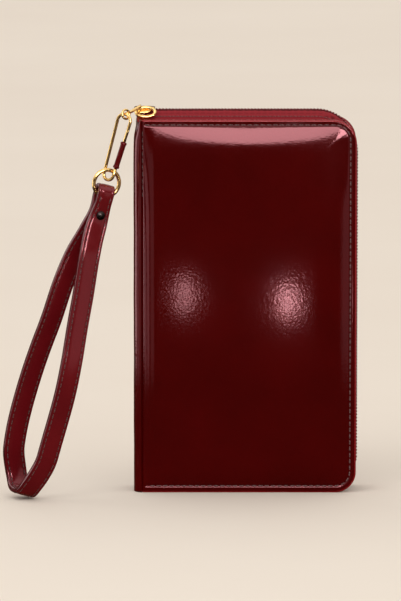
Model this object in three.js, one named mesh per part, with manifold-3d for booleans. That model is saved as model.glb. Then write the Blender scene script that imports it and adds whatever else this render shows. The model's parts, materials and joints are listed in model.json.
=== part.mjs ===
// Long zip-around wallet with a wrist strap, standing on a short side.
// Millimetres. X runs from the spine to the zipped side, Y from the front cover to the back, Z up.
// The pieces are drawn about the middle of the covers' width. The group is then moved so that the
// origin lies at the middle of the spine's lower edge, where the wallet stands.
// "depth" is the distance from the middle plane Y = 0, and "side" is -1 for the front half, +1 for the back.
import * as THREE from "three";
import { mergeVertices } from "three/addons/utils/BufferGeometryUtils.js";
import Module from "manifold-3d";

const FRONT = -1;
const BACK = 1;

// Covers and spine
const SPINE_X = -56;
const HINGE_X = -51.3;
const COVER_RIGHT = 53.3;
const COVER_TOP = 188.7;
const HALF_DEPTH = 12.5;
const CORNER_RADIUS = 15;
const LEATHER = 1.2;
const RIM_DEPTH = 3.2;
const HINGE_GAP = 0.2;
const STACK_INSET = 3;

// Layers behind each cover's leather, as depths between which each one lies
const PADDING = [10.35, 11.25];
const COVER_BOARD = [9.4, 10.3];
const COVER_LINING = [8.7, 9.35];

// Layers inside the spine, as distances from its outer face
const SPINE_BOARD = { from: 1.25, to: 1.95, halfDepth: 7.5 };
const SPINE_LINING = { from: 2, to: 2.6, halfDepth: 8 };

// Card slots, from the deepest one on
const SLOT_COUNT = 4;
const SLOT_LEFT = HINGE_X + 1.5;
const SLOT_EDGE = 36;
const SLOT_STEP = 11;
const SLOT_MARGIN = 9;
const SLOT_DEPTH = 8.6;
const SLOT_LAYER = 0.6;
const SLOT_LEATHER = 0.5;

// How far the zip's crown stands out beyond the covers' edge
const CROWN_TOP = 4.4;
const CROWN_RIGHT = 2.7;
const CROWN_BOTTOM = -0.4;
const TOOTH_HEIGHT = 1.7;
const TOOTH_INNER = 0.7;
const TOOTH_OUTER = 2.6;
const TAPE = 0.7;
const TAPE_LEFT = HINGE_X + 0.8;
const TEETH_LEFT = -47;
const STOP_LEFT = -50.2;
const STOP_RIGHT = -48;

// Slider of the main zip, at its closed end above the spine
const SLIDER_LEFT = -55.6;
const SLIDER_RIGHT = -45.2;
const SLIDER_GAP = 0.25;
const WING = 0.8;
const UNDER_HALF = 3.2;
const UNDER_INSET = 0.4;
const POST_HALF = 0.4;
const POST_LENGTH = 1.3;
const OVERLAP = 0.3;
// The upper wing's cross-sections, as Y and height above the crown: the wide end and the narrow end
const WIDE_END = [[4, SLIDER_GAP], [-3.6, SLIDER_GAP], [-4.8, 0.1], [-6.2, -0.9], [-7.4, -2.2]];
const NARROW_END = [[2.8, SLIDER_GAP], [-2.6, SLIDER_GAP], [-3.4, 0.2], [-4.4, -0.1], [-5.2, -0.8]];
const WIDE_LENGTH = 6;
const BRIDGE = new THREE.Vector3(-52.7, -6.6, 194.9);
const BRIDGE_WIRE = 0.5;
const BRIDGE_ARCH = [
  [-55.1, -6.2, 192.6], [-54.9, -6.5, 194.2], [-54.2, -6.6, 194.9],
  [-51.2, -6.6, 194.9], [-49.9, -6.4, 194.3], [-48.9, -5.9, 192.9],
];

// Pull: an eye on the slider's bridge, a bar, and an eye round the clip's wire
const EYE_RADIUS = 1.15;
const EYE_WIRE = 0.4;
const PULL_BAR = [
  [-52.7, -7.8, 194.9], [-53.9, -10, 194.5], [-56.8, -14.2, 193.3], [-58.6, -17, 192.7], [-59.1, -18.1, 192.5],
];
const PULL_BAR_WIRE = 0.7;
const CLIP_EYE_RADIUS = 1.9;
const CLIP_EYE_WIRE = 0.5;

// Clip: a long wire loop that hangs from the pull, its plane turned about its length
const CLIP_TOP = new THREE.Vector3(-59.6, -20, 192.4);
const CLIP_FOOT = new THREE.Vector3(-69, -20, 159.6);
const CLIP_TURN = THREE.MathUtils.degToRad(-30);
const CLIP_WIRE = 0.8;
const CLIP_TOP_RADIUS = 3.7;
const CLIP_FOOT_RADIUS = 2.75;
const SLEEVE_RADIUS = 1.5;
const SLEEVE_GAP = 0.15;
// Along the right leg: the gap in the wire, and the sleeve that covers it
const WIRE_GAP = [24, 26.6];
const SLEEVE_SPAN = [13.6, 27.2];

// Ring and strap
const RING_HEIGHT = 164.4;
const RING_RADIUS = 6.4;
const RING_WIRE = 0.9;
const RING_TURN = THREE.MathUtils.degToRad(22);
const STRAP_TURN = THREE.MathUtils.degToRad(50);
const FOOT_TURN = THREE.MathUtils.degToRad(25);
const FOOT_START = 140;
const STRAP_WIDTH = 11;
const STRAP_NECK = 8.6;
const STRAP_THICKNESS = 2.5;
// Half the loop's centre line: offset from the middle line, and distance below the ring's centre
const LOOP_TOP = 2.2;
const LOOP_SIDE = [
  [1.3, 2.6], [2.35, 4], [2.5, 6.4], [2.3, 9], [1.75, 12], [1.45, 15], [1.42, 17.5], [1.7, 20.5],
  [2.9, 27], [5, 37], [7, 54], [8.8, 74], [10.8, 90], [12, 105], [12.2, 122], [11.6, 137],
  [10.5, 147], [8.4, 155], [4.8, 160.2],
];

// Rivet: distances from the strap's middle line, and radii
const RIVET_AT = 16.6;
const RIVET_FACE = 2.9;
const RIVET_HOLE = 1.25;
const RIVET_SHANK = 1.05;
const RIVET_CAP = 2.3;
const RIVET_FOOT = 2.2;
const RIVET_FOOT_HEIGHT = 0.7;

// Coin pocket in the middle
const COIN_LEFT = -53.3;
const COIN_RIGHT = 30;
const COIN_LOW = 12;
const COIN_HIGH = 177;
const COIN_DEPTH = 3.2;
const COIN_WALL = 0.6;
const COIN_ZIP_X = 35;
const COIN_SEAM = 1.5;
const COIN_SPINE_SEAM = 3;
const COIN_GAP = 0.02;
const COIN_TEETH = { near: 0.6, far: 1.95, height: 1.4 };
// The coin zip's tape, as X and depth of its two faces
const COIN_TAPE_OUTER = [[COIN_RIGHT + 0.1, 3.2], [33.2, 3.0], [35.7, 2.55]];
const COIN_TAPE_INNER = [[COIN_RIGHT + 0.1, 2.6], [33.2, 2.4], [35.7, 2.0]];

// The coin zip's slider: a plate over the teeth, one under them and a post, as ranges of X
const COIN_SLIDER_Z = 168;
const COIN_SLIDER_HALF = 4;
const COIN_PLATE = { from: 36.6, to: 37.3, half: 3.2 };
const COIN_UNDER = { from: 34.05, to: 34.75, half: 1.8 };
const COIN_POST = { from: 34.5, to: 36.9, half: 0.35, low: 2.8, high: 3.8 };
const COIN_BRIDGE_X = 38.75;
const COIN_ARCH = [
  [36.9, -1.7], [38.3, -1.7], [COIN_BRIDGE_X, -1.2], [COIN_BRIDGE_X, 1.2], [38.3, 1.7], [36.9, 1.7],
];
const COIN_WIRE = 0.4;
const COIN_EYE_RADIUS = 1;
const COIN_EYE_WIRE = 0.35;
const COIN_TAG_HALF = 1.8;
const COIN_TAG_SPAN = [1.1, 11.5];

// Gussets: where their folds lie at the spine end and at the open end
const GUSSET_SPINE = { x: -50, fold: 174 };
const GUSSET_OPEN = { x: 28, fold: 164 };
const GUSSET_HALF = 0.2;

const wasm = await Module();
wasm.setup();
const group = new THREE.Group();

function material(color, roughness, metalness = 0) {
  return new THREE.MeshStandardMaterial({ color, roughness, metalness });
}

// Every mesh gets a material of its own, made from one of these colours.
const PATENT = [0x5c0710, 0.12, 0];
const LINING = [0x4a1a1c, 0.7, 0];
const INNER_LEATHER = [0x54101a, 0.45, 0];
const TAPE_CLOTH = [0x8a2a33, 0.8, 0];
const TEETH = [0x3b1a14, 0.35, 0.8];
const GOLD = [0xd8ab4e, 0.15, 1];
const FOAM = [0xd9cfc2, 0.9, 0];
const BOARD = [0x8c7a63, 0.85, 0];
const RIVET = [0x14100f, 0.2, 0.6];

function add(name, geometry, look) {
  const mesh = new THREE.Mesh(geometry, material(...look));
  mesh.name = name;
  group.add(mesh);
}

// A geometry from quads, turned so that its faces point outwards.
function solid(points, quads) {
  const position = new Float32Array(points.flatMap((p) => [p.x, p.y, p.z]));
  let index = quads.flatMap(([a, b, c, d]) => (d === undefined ? [a, b, c] : [a, b, c, a, c, d]));
  let volume = 0;
  for (let i = 0; i < index.length; i += 3) {
    const [a, b, c] = [points[index[i]], points[index[i + 1]], points[index[i + 2]]];
    volume += a.dot(b.clone().cross(c));
  }
  if (volume < 0) index = index.reverse();
  const geometry = new THREE.BufferGeometry();
  geometry.setAttribute("position", new THREE.BufferAttribute(position, 3));
  geometry.setIndex(index);
  return geometry;
}

// A sheet with thickness between two grids of points: outer[row][column] and inner[row][column].
function sheet(outer, inner, closed = false) {
  const rows = outer.length;
  const columns = outer[0].length;
  const points = [...outer.flat(), ...inner.flat()];
  const out = (i, k) => (i % rows) * columns + k;
  const within = (i, k) => rows * columns + out(i, k);
  const quads = [];
  const last = columns - 1;
  for (let i = 0; i < (closed ? rows : rows - 1); i++) {
    for (let k = 0; k < last; k++) {
      quads.push([out(i, k), out(i, k + 1), out(i + 1, k + 1), out(i + 1, k)]);
      quads.push([within(i, k), within(i + 1, k), within(i + 1, k + 1), within(i, k + 1)]);
    }
    quads.push([out(i, 0), out(i + 1, 0), within(i + 1, 0), within(i, 0)]);
    quads.push([out(i, last), within(i, last), within(i + 1, last), out(i + 1, last)]);
  }
  for (let k = 0; !closed && k < last; k++) {
    const end = rows - 1;
    quads.push([out(0, k), within(0, k), within(0, k + 1), out(0, k + 1)]);
    quads.push([out(end, k), out(end, k + 1), within(end, k + 1), within(end, k)]);
  }
  return solid(points, quads);
}

// A round wire along points; the first normal sets how the rings are turned.
function wire(path, radius, closed, normal, sides = 10) {
  const count = path.length;
  const points = [];
  const quads = [];
  let across = normal.clone();
  path.forEach((centre, i) => {
    const before = path[closed ? (i + count - 1) % count : Math.max(i - 1, 0)];
    const after = path[closed ? (i + 1) % count : Math.min(i + 1, count - 1)];
    const along = after.clone().sub(before).normalize();
    across = across.clone().addScaledVector(along, -across.dot(along)).normalize();
    const up = along.clone().cross(across);
    for (let k = 0; k < sides; k++) {
      const angle = (2 * Math.PI * k) / sides;
      const point = centre.clone().addScaledVector(across, radius * Math.cos(angle));
      points.push(point.addScaledVector(up, radius * Math.sin(angle)));
    }
  });
  for (let i = 0; i < (closed ? count : count - 1); i++) {
    for (let k = 0; k < sides; k++) {
      const next = (k + 1) % sides;
      const row = i * sides;
      const nextRow = ((i + 1) % count) * sides;
      quads.push([row + k, row + next, nextRow + next, nextRow + k]);
    }
  }
  for (let k = 1; !closed && k < sides - 1; k++) {
    const end = (count - 1) * sides;
    quads.push([0, k + 1, k]);
    quads.push([end, end + k, end + k + 1]);
  }
  return solid(points, quads);
}

function toManifold(geometry) {
  const bare = geometry.index ? geometry.toNonIndexed() : geometry.clone();
  bare.deleteAttribute("normal");
  bare.deleteAttribute("uv");
  const merged = mergeVertices(bare, 1e-4);
  return new wasm.Manifold(
    new wasm.Mesh({
      numProp: 3,
      vertProperties: merged.attributes.position.array,
      triVerts: new Uint32Array(merged.index.array),
    }),
  );
}

function fromManifold(body) {
  const made = body.getMesh();
  const geometry = new THREE.BufferGeometry();
  geometry.setAttribute("position", new THREE.BufferAttribute(made.vertProperties, 3));
  geometry.setIndex(new THREE.BufferAttribute(made.triVerts, 1));
  return geometry;
}

function joined(geometries) {
  return fromManifold(geometries.map(toManifold).reduce((whole, next) => whole.add(next)));
}

function box(x0, x1, y0, y1, z0, z1) {
  const geometry = new THREE.BoxGeometry(x1 - x0, y1 - y0, z1 - z0);
  return geometry.translate((x0 + x1) / 2, (y0 + y1) / 2, (z0 + z1) / 2);
}

// A flat piece with an outline in X and Z, between two depths on one side of the middle plane.
function slab(outline, near, far, side) {
  const shape = new THREE.Shape(outline.map(([x, z]) => new THREE.Vector2(x, z)));
  const geometry = new THREE.ExtrudeGeometry(shape, { depth: far - near, bevelEnabled: false });
  return geometry.rotateX(Math.PI / 2).translate(0, side === FRONT ? -near : far, 0);
}

// Outline of a cover, straight at the spine and rounded at the two zipped corners.
function coverOutline(inset, left) {
  const radius = CORNER_RADIUS - inset;
  const centreX = COVER_RIGHT - CORNER_RADIUS;
  const points = [[left, inset]];
  const steps = 8;
  for (let i = 0; i <= steps; i++) {
    const angle = -Math.PI / 2 + (Math.PI / 2) * (i / steps);
    points.push([centreX + radius * Math.cos(angle), CORNER_RADIUS + radius * Math.sin(angle)]);
  }
  for (let i = 0; i <= steps; i++) {
    const angle = (Math.PI / 2) * (i / steps);
    const centreZ = COVER_TOP - CORNER_RADIUS;
    points.push([centreX + radius * Math.cos(angle), centreZ + radius * Math.sin(angle)]);
  }
  points.push([left, COVER_TOP - inset]);
  return points;
}

// Stations along the covers' zipped edge, from the spine end at the top round to the one below.
// Each gives the edge point, the direction outwards and the crown's height there.
function zipStations(left) {
  const stations = [{ x: left, z: COVER_TOP, outX: 0, outZ: 1, crown: CROWN_TOP }];
  const centreX = COVER_RIGHT - CORNER_RADIUS;
  const steps = 10;
  const corner = (centreZ, start, from, to) => {
    for (let i = 0; i <= steps; i++) {
      const angle = start - (Math.PI / 2) * (i / steps);
      const [outX, outZ] = [Math.cos(angle), Math.sin(angle)];
      const blend = THREE.MathUtils.smoothstep(i / steps, 0, 1);
      const [x, z] = [centreX + CORNER_RADIUS * outX, centreZ + CORNER_RADIUS * outZ];
      stations.push({ x, z, outX, outZ, crown: from + (to - from) * blend });
    }
  };
  corner(COVER_TOP - CORNER_RADIUS, Math.PI / 2, CROWN_TOP, CROWN_RIGHT);
  corner(CORNER_RADIUS, 0, CROWN_RIGHT, CROWN_BOTTOM);
  stations.push({ x: left, z: 0, outX: 0, outZ: -1, crown: CROWN_BOTTOM });
  return stations;
}

// Points of a cross-section (depth, height beyond the cover's edge) at one station.
function sectionAt(station, section, side) {
  return section(station.crown).map(
    ([depth, height]) =>
      new THREE.Vector3(
        station.x + station.outX * height,
        side * depth,
        station.z + station.outZ * height,
      ),
  );
}

function alongZip(left, outer, inner, side) {
  const stations = zipStations(left);
  return sheet(
    stations.map((station) => sectionAt(station, outer, side)),
    stations.map((station) => sectionAt(station, inner, side)),
  );
}

function coverTray(side) {
  const left = HINGE_X + HINGE_GAP;
  const outer = slab(coverOutline(0, left), HALF_DEPTH - RIM_DEPTH, HALF_DEPTH, side);
  const hollow = slab(coverOutline(LEATHER, left - 1), HALF_DEPTH - RIM_DEPTH - 1, HALF_DEPTH - LEATHER, side);
  return fromManifold(toManifold(outer).subtract(toManifold(hollow)));
}

function addCover(half, side) {
  const left = HINGE_X + 1;
  const inside = coverOutline(STACK_INSET, left);
  add(`${half}_cover_leather`, coverTray(side), PATENT);
  add(`${half}_padding`, slab(inside, ...PADDING, side), FOAM);
  add(`${half}_board`, slab(inside, ...COVER_BOARD, side), BOARD);
  add(`${half}_lining`, slab(inside, ...COVER_LINING, side), LINING);
}

// Stepped card slots: the deepest one reaches farthest from the spine.
function addCardSlots(half, side) {
  const [low, high] = [SLOT_MARGIN, COVER_TOP - SLOT_MARGIN];
  for (let slot = 0; slot < SLOT_COUNT; slot++) {
    const edge = SLOT_EDGE - SLOT_STEP * slot;
    const far = SLOT_DEPTH - SLOT_LAYER * slot;
    const outline = [[SLOT_LEFT, low], [edge, low], [edge, high], [SLOT_LEFT, high]];
    add(`${half}_card_slot_${slot + 1}`, slab(outline, far - SLOT_LEATHER, far, side), INNER_LEATHER);
  }
}

// The tape's outer face, from its edge inside the cover's rim up to the teeth.
function tapeOuter(crown) {
  return [[11, -1.35], [9.2, -1.35], [4.5, crown - 0.55], [2.7, crown - 0.5]];
}

function tapeInner(crown) {
  return tapeOuter(crown).map(([depth, height]) => [depth - 0.01, height - TAPE]);
}

function teethOuter(crown) {
  return [[TOOTH_INNER, crown], [TOOTH_OUTER, crown]];
}

function teethInner(crown) {
  return teethOuter(crown).map(([depth, height]) => [depth, height - TOOTH_HEIGHT]);
}

function addZipHalf(half, side) {
  add(`${half}_zip_tape`, alongZip(TAPE_LEFT, tapeOuter, tapeInner, side), TAPE_CLOTH);
  add(`${half}_zip_teeth`, alongZip(TEETH_LEFT, teethOuter, teethInner, side), TEETH);
  const top = COVER_TOP + CROWN_TOP;
  const [low, high] = [side * TOOTH_INNER, side * TOOTH_OUTER].sort((a, b) => a - b);
  add(`${half}_zip_stop`, box(STOP_LEFT, STOP_RIGHT, low, high, top - TOOTH_HEIGHT, top - 0.1), GOLD);
}

// A channel round the spine, its two flanges meeting the covers at the hinge lines.
function channel(inset, thickness, low, high) {
  const corner = HINGE_X - SPINE_X;
  const ring = (offset) => {
    const radius = corner - offset;
    const points = [];
    for (const side of [FRONT, BACK]) {
      for (let i = 0; i <= 6; i++) {
        const angle = (Math.PI / 2) * (side === FRONT ? 1 - i / 6 : i / 6);
        const x = HINGE_X - radius * Math.cos(angle);
        points.push([x, side * (HALF_DEPTH - corner + radius * Math.sin(angle))]);
      }
    }
    return points;
  };
  const at = (points, z) => points.map(([x, y]) => new THREE.Vector3(x, y, z));
  const [outer, inner] = [ring(inset), ring(inset + thickness)];
  return sheet([at(outer, low), at(outer, high)], [at(inner, low), at(inner, high)]);
}

function spineLayer({ from, to, halfDepth }) {
  return box(SPINE_X + from, SPINE_X + to, -halfDepth, halfDepth, 1, COVER_TOP - 1);
}

function addSpine() {
  add("spine_leather", channel(0, LEATHER, 0, COVER_TOP), PATENT);
  add("spine_board", spineLayer(SPINE_BOARD), BOARD);
  add("spine_lining", spineLayer(SPINE_LINING), LINING);
}

// The coin pocket stands on the spine between the halves and has its own zip, facing the zipped side.
function addCoinPocket() {
  const inner = COIN_DEPTH - COIN_WALL;
  const [low, high] = [COIN_LOW, COIN_HIGH];
  add("coin_wall_front", box(COIN_LEFT, COIN_RIGHT, -COIN_DEPTH, -inner - COIN_GAP, low, high), LINING);
  add("coin_wall_back", box(COIN_LEFT, COIN_RIGHT, inner + COIN_GAP, COIN_DEPTH, low, high), LINING);
  const [seamLow, seamHigh, seamLeft] = [low + COIN_SEAM, high - COIN_SEAM, COIN_LEFT + COIN_SPINE_SEAM];
  const edge = [
    [COIN_LEFT, low], [COIN_RIGHT, low], [COIN_RIGHT, seamLow], [seamLeft, seamLow],
    [seamLeft, seamHigh], [COIN_RIGHT, seamHigh], [COIN_RIGHT, high], [COIN_LEFT, high],
  ];
  add("coin_pocket_edge", slab(edge, -inner, inner, BACK), LINING);
  for (const [half, side] of [["front", FRONT], ["back", BACK]]) {
    const line = (points) =>
      [low + 2, high - 2].map((z) => points.map(([x, depth]) => new THREE.Vector3(x, side * depth, z)));
    add(`coin_zip_tape_${half}`, sheet(line(COIN_TAPE_OUTER), line(COIN_TAPE_INNER)), TAPE_CLOTH);
    const [near, far] = [side * COIN_TEETH.near, side * COIN_TEETH.far].sort((a, b) => a - b);
    const crown = COIN_ZIP_X + COIN_TEETH.height;
    add(`coin_teeth_${half}`, box(COIN_ZIP_X, crown, near, far, low + 2, high - 3), TEETH);
  }
}

function coinPlate({ from, to, half }, low, high) {
  return box(from, to, -half, half, COIN_SLIDER_Z + low, COIN_SLIDER_Z + high);
}

function addCoinSlider() {
  const z = COIN_SLIDER_Z;
  const arch = COIN_ARCH.map(([x, y]) => new THREE.Vector3(x, y, z));
  const parts = [
    coinPlate(COIN_PLATE, -COIN_SLIDER_HALF, COIN_SLIDER_HALF),
    coinPlate(COIN_UNDER, -COIN_SLIDER_HALF, COIN_SLIDER_HALF),
    coinPlate(COIN_POST, COIN_POST.low, COIN_POST.high),
    wire(arch, COIN_WIRE, false, new THREE.Vector3(0, 0, 1), 8),
  ];
  add("coin_slider", joined(parts), GOLD);
  const eye = new THREE.TorusGeometry(COIN_EYE_RADIUS, COIN_EYE_WIRE, 8, 16).rotateX(Math.PI / 2);
  eye.translate(COIN_BRIDGE_X, 0, z);
  const [left, right] = [COIN_BRIDGE_X - COIN_EYE_WIRE, COIN_BRIDGE_X + COIN_EYE_WIRE];
  const [near, far] = COIN_TAG_SPAN;
  const tag = box(left, right, -COIN_TAG_HALF, COIN_TAG_HALF, z - far, z - near);
  add("coin_pull", joined([eye, tag]), GOLD);
}

// Folded gussets that hold the two halves together at both short ends.
function addGussets() {
  for (const [end, flip] of [["top", false], ["bottom", true]]) {
    for (const [half, side] of [["front", FRONT], ["back", BACK]]) {
      const row = (x, fold, thick) =>
        [[5.7 + thick, 182], [4.5, fold - 2 * thick], [3.55 - thick, 176]].map(([depth, z]) => {
          return new THREE.Vector3(x, side * depth, flip ? COVER_TOP - z : z);
        });
      const rows = (thick) => [GUSSET_SPINE, GUSSET_OPEN].map(({ x, fold }) => row(x, fold, thick));
      add(`gusset_${end}_${half}`, sheet(rows(GUSSET_HALF), rows(-GUSSET_HALF)), LINING);
    }
  }
}

// Slider: a wing over the teeth that droops over the front tape, a wing under them, a post between.
function addSlider() {
  const crown = COVER_TOP + CROWN_TOP;
  const row = (x, section, lift) => section.map(([y, z]) => new THREE.Vector3(x, y, crown + z + lift));
  const rows = (lift) => [
    row(SLIDER_LEFT, WIDE_END, lift),
    row(SLIDER_LEFT + WIDE_LENGTH, WIDE_END, lift),
    row(SLIDER_RIGHT, NARROW_END, lift),
  ];
  const under = crown - TOOTH_HEIGHT - SLIDER_GAP;
  const [left, right] = [SLIDER_LEFT + UNDER_INSET, SLIDER_RIGHT - UNDER_INSET];
  const arch = BRIDGE_ARCH.map((p) => new THREE.Vector3(...p));
  const parts = [
    sheet(rows(WING), rows(0)),
    box(left, right, -UNDER_HALF, UNDER_HALF, under - WING, under),
    box(left, left + POST_LENGTH, -POST_HALF, POST_HALF, under - OVERLAP, crown + SLIDER_GAP + OVERLAP),
    wire(arch, BRIDGE_WIRE, false, new THREE.Vector3(0, 1, 0), 10),
  ];
  add("zip_slider", joined(parts), GOLD);
}

// Clip directions: along its length, across it, and out of its plane
const CLIP_ALONG = CLIP_FOOT.clone().sub(CLIP_TOP).normalize();
const CLIP_LENGTH = CLIP_FOOT.distanceTo(CLIP_TOP);
const CLIP_ACROSS = new THREE.Vector3(0, 1, 0)
  .cross(CLIP_ALONG)
  .negate()
  .applyAxisAngle(CLIP_ALONG, -CLIP_TURN)
  .normalize();
const CLIP_NORMAL = CLIP_ALONG.clone().cross(CLIP_ACROSS);

function onClip(across, along) {
  return CLIP_TOP.clone().addScaledVector(CLIP_ACROSS, across).addScaledVector(CLIP_ALONG, along);
}

// A point on the clip's straight right leg, at a distance along the clip.
function onLeg(along) {
  const [start, end] = [CLIP_TOP_RADIUS, CLIP_LENGTH - CLIP_FOOT_RADIUS];
  const share = (along - start) / (end - start);
  return onClip(CLIP_TOP_RADIUS + (CLIP_FOOT_RADIUS - CLIP_TOP_RADIUS) * share, along);
}

function addPull() {
  const eyeA = new THREE.TorusGeometry(EYE_RADIUS, EYE_WIRE, 8, 20).rotateY(Math.PI / 2);
  eyeA.translate(BRIDGE.x, BRIDGE.y, BRIDGE.z);
  const eyeB = new THREE.TorusGeometry(CLIP_EYE_RADIUS, CLIP_EYE_WIRE, 8, 24);
  const turn = new THREE.Quaternion().setFromUnitVectors(new THREE.Vector3(0, 0, 1), CLIP_ACROSS);
  eyeB.applyQuaternion(turn).translate(CLIP_TOP.x, CLIP_TOP.y, CLIP_TOP.z);
  const path = PULL_BAR.map((p) => new THREE.Vector3(...p));
  const bar = wire(path, PULL_BAR_WIRE, false, new THREE.Vector3(0, 0, 1), 10);
  add("zip_pull", joined([eyeA, eyeB, bar]), GOLD);
}

// The wire is open for a short gap on the right leg, which the sleeve covers.
function addClip() {
  const path = [onLeg(WIRE_GAP[1])];
  const steps = 10;
  const footCentre = CLIP_LENGTH - CLIP_FOOT_RADIUS;
  for (let i = 0; i <= steps; i++) {
    const angle = (Math.PI * i) / steps;
    path.push(onClip(CLIP_FOOT_RADIUS * Math.cos(angle), footCentre + CLIP_FOOT_RADIUS * Math.sin(angle)));
  }
  for (let i = 0; i <= steps; i++) {
    const angle = Math.PI + (Math.PI * i) / steps;
    path.push(onClip(CLIP_TOP_RADIUS * Math.cos(angle), CLIP_TOP_RADIUS * (1 + Math.sin(angle))));
  }
  path.push(onLeg(WIRE_GAP[0]));
  add("clip_frame", wire(path, CLIP_WIRE, false, CLIP_NORMAL, 10), GOLD);
  const ends = SLEEVE_SPAN.map(onLeg);
  const along = ends[1].clone().sub(ends[0]).normalize();
  const side = CLIP_NORMAL.clone().cross(along);
  const ring = (radius) =>
    Array.from({ length: 16 }, (_, k) => {
      const angle = (Math.PI * k) / 8;
      const out = CLIP_NORMAL.clone().multiplyScalar(radius * Math.cos(angle));
      out.addScaledVector(side, radius * Math.sin(angle));
      return ends.map((end) => end.clone().add(out));
    });
  add("clip_gate_sleeve", sheet(ring(SLEEVE_RADIUS), ring(CLIP_WIRE + SLEEVE_GAP), true), PATENT);
}

// The ring's top lies in the clip; the strap's middle line starts at the ring's centre.
const RING_TOP = onClip(0, ((CLIP_TOP.z - RING_HEIGHT) / (CLIP_TOP.z - CLIP_FOOT.z)) * CLIP_LENGTH);
const STRAP_BEND = new THREE.Vector3(-73.4, -20.8, 142.3);
const RING_DOWN = STRAP_BEND.clone().sub(RING_TOP).normalize();
const RING_CENTRE = RING_TOP.clone().addScaledVector(RING_DOWN, RING_RADIUS);
const MIDDLE_LINE = new THREE.CatmullRomCurve3([
  RING_CENTRE,
  RING_CENTRE.clone().addScaledVector(RING_DOWN, 8),
  STRAP_BEND,
  new THREE.Vector3(-82, -23.8, 119.9),
  new THREE.Vector3(-91.5, -27.2, 84.4),
  new THREE.Vector3(-98.5, -28.4, 58.2),
  new THREE.Vector3(-105.5, -28.6, 32.4),
  new THREE.Vector3(-109.3, -28.6, 14.6),
  new THREE.Vector3(-112, -28.6, 3.1),
]);
const LOOP_LENGTH = MIDDLE_LINE.getLength();

// The loop's directions at a distance below the ring: along, across its plane, and the way its sides part.
function strapFrame(distance) {
  const share = THREE.MathUtils.clamp(distance / LOOP_LENGTH, 0, 1);
  const along = MIDDLE_LINE.getTangentAt(share);
  const blend = THREE.MathUtils.smoothstep(distance, 8, 60);
  const foot = THREE.MathUtils.smoothstep(distance, FOOT_START, LOOP_LENGTH);
  const turn = RING_TURN + (STRAP_TURN - RING_TURN) * blend + (FOOT_TURN - STRAP_TURN) * foot;
  const across = new THREE.Vector3(Math.cos(turn), Math.sin(turn), 0);
  across.addScaledVector(along, -across.dot(along)).normalize();
  const front = along.clone().cross(across);
  return { centre: MIDDLE_LINE.getPointAt(share), along, across, front };
}

function onLoop(offset, distance) {
  const { centre, front } = strapFrame(distance);
  return centre.addScaledVector(front, offset);
}

function addRing() {
  const { across } = strapFrame(0);
  const path = Array.from({ length: 32 }, (_, i) => {
    const angle = (Math.PI * i) / 16;
    const point = RING_CENTRE.clone().addScaledVector(across, RING_RADIUS * Math.cos(angle));
    return point.addScaledVector(RING_DOWN, RING_RADIUS * Math.sin(angle));
  });
  add("strap_ring", wire(path, RING_WIRE, true, across.clone().cross(RING_DOWN), 12), GOLD);
}

// The strap's closed loop: points in its own plane, and the same points in space.
function strapPath() {
  const side = LOOP_SIDE.map(([offset, distance]) => new THREE.Vector3(offset, distance, 0));
  const mirrored = side.map((p) => new THREE.Vector3(-p.x, p.y, 0)).reverse();
  const plan = [new THREE.Vector3(0, LOOP_TOP, 0), ...side, new THREE.Vector3(0, LOOP_LENGTH, 0), ...mirrored];
  const curve = new THREE.CatmullRomCurve3(plan, true, "centripetal");
  const flat = curve.getPoints(plan.length * 3).slice(0, -1);
  return { flat, path: flat.map((p) => onLoop(p.x, p.y)) };
}

// A solid of revolution that stands on the strap at the rivet's place.
function atRivet(profile) {
  const { centre, front } = strapFrame(RIVET_AT);
  const stand = new THREE.Quaternion().setFromUnitVectors(new THREE.Vector3(0, 1, 0), front);
  const points = profile.map(([r, y]) => new THREE.Vector2(r, y));
  return new THREE.LatheGeometry(points, 20).applyQuaternion(stand).translate(centre.x, centre.y, centre.z);
}

function addStrap() {
  const { flat, path } = strapPath();
  const half = STRAP_THICKNESS / 2;
  const edges = (lift) =>
    path.map((centre, i) => {
      const along = path[(i + 1) % path.length].clone().sub(path[(i + path.length - 1) % path.length]);
      const { across } = strapFrame(Math.min(flat[i].y, RIVET_AT));
      along.normalize();
      across.addScaledVector(along, -across.dot(along)).normalize();
      const face = along.clone().cross(across).normalize();
      const blend = THREE.MathUtils.smoothstep(flat[i].y, 9, 24);
      const reach = (STRAP_NECK + (STRAP_WIDTH - STRAP_NECK) * blend) / 2;
      const middle = centre.clone().addScaledVector(face, lift);
      return [-reach, reach].map((r) => middle.clone().addScaledVector(across, r));
    });
  const loop = toManifold(sheet(edges(half), edges(-half), true));
  const drill = atRivet([[0, -8], [RIVET_HOLE, -8], [RIVET_HOLE, 8], [0, 8]]);
  add("strap_loop", fromManifold(loop.subtract(toManifold(drill))), PATENT);
}

function addRivet() {
  const face = RIVET_FACE;
  const dome = [
    [0, face], [RIVET_CAP, face], [RIVET_CAP, face + 0.4], [1.8, face + 1], [1, face + 1.4], [0, face + 1.5],
  ];
  add("rivet_cap", atRivet(dome), RIVET);
  const end = face - 0.05;
  const foot = -face - RIVET_FOOT_HEIGHT;
  const post = [
    [0, foot], [RIVET_FOOT, foot], [RIVET_FOOT, -face], [RIVET_SHANK, -face], [RIVET_SHANK, end], [0, end],
  ];
  add("rivet_post", atRivet(post), RIVET);
}

for (const [half, side] of [["front", FRONT], ["back", BACK]]) {
  addCover(half, side);
  addCardSlots(half, side);
  addZipHalf(half, side);
}
addSpine();
addCoinPocket();
addCoinSlider();
addGussets();
addSlider();
addPull();
addClip();
addRing();
addStrap();
addRivet();
group.position.x = -(SPINE_X + LEATHER / 2);

export default group;
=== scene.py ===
# Looks of the long wallet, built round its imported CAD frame. Shapes are drawn in millimetres in the row
# frame: X from the spine to the zipped side, Y from the front cover to the back, Z up.
# "depth" is the distance from the middle plane Y = 0, and "side" is -1 for the front half, +1 for the back.
import json
import math

import bmesh
import bpy
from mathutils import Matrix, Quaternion, Vector


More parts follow.
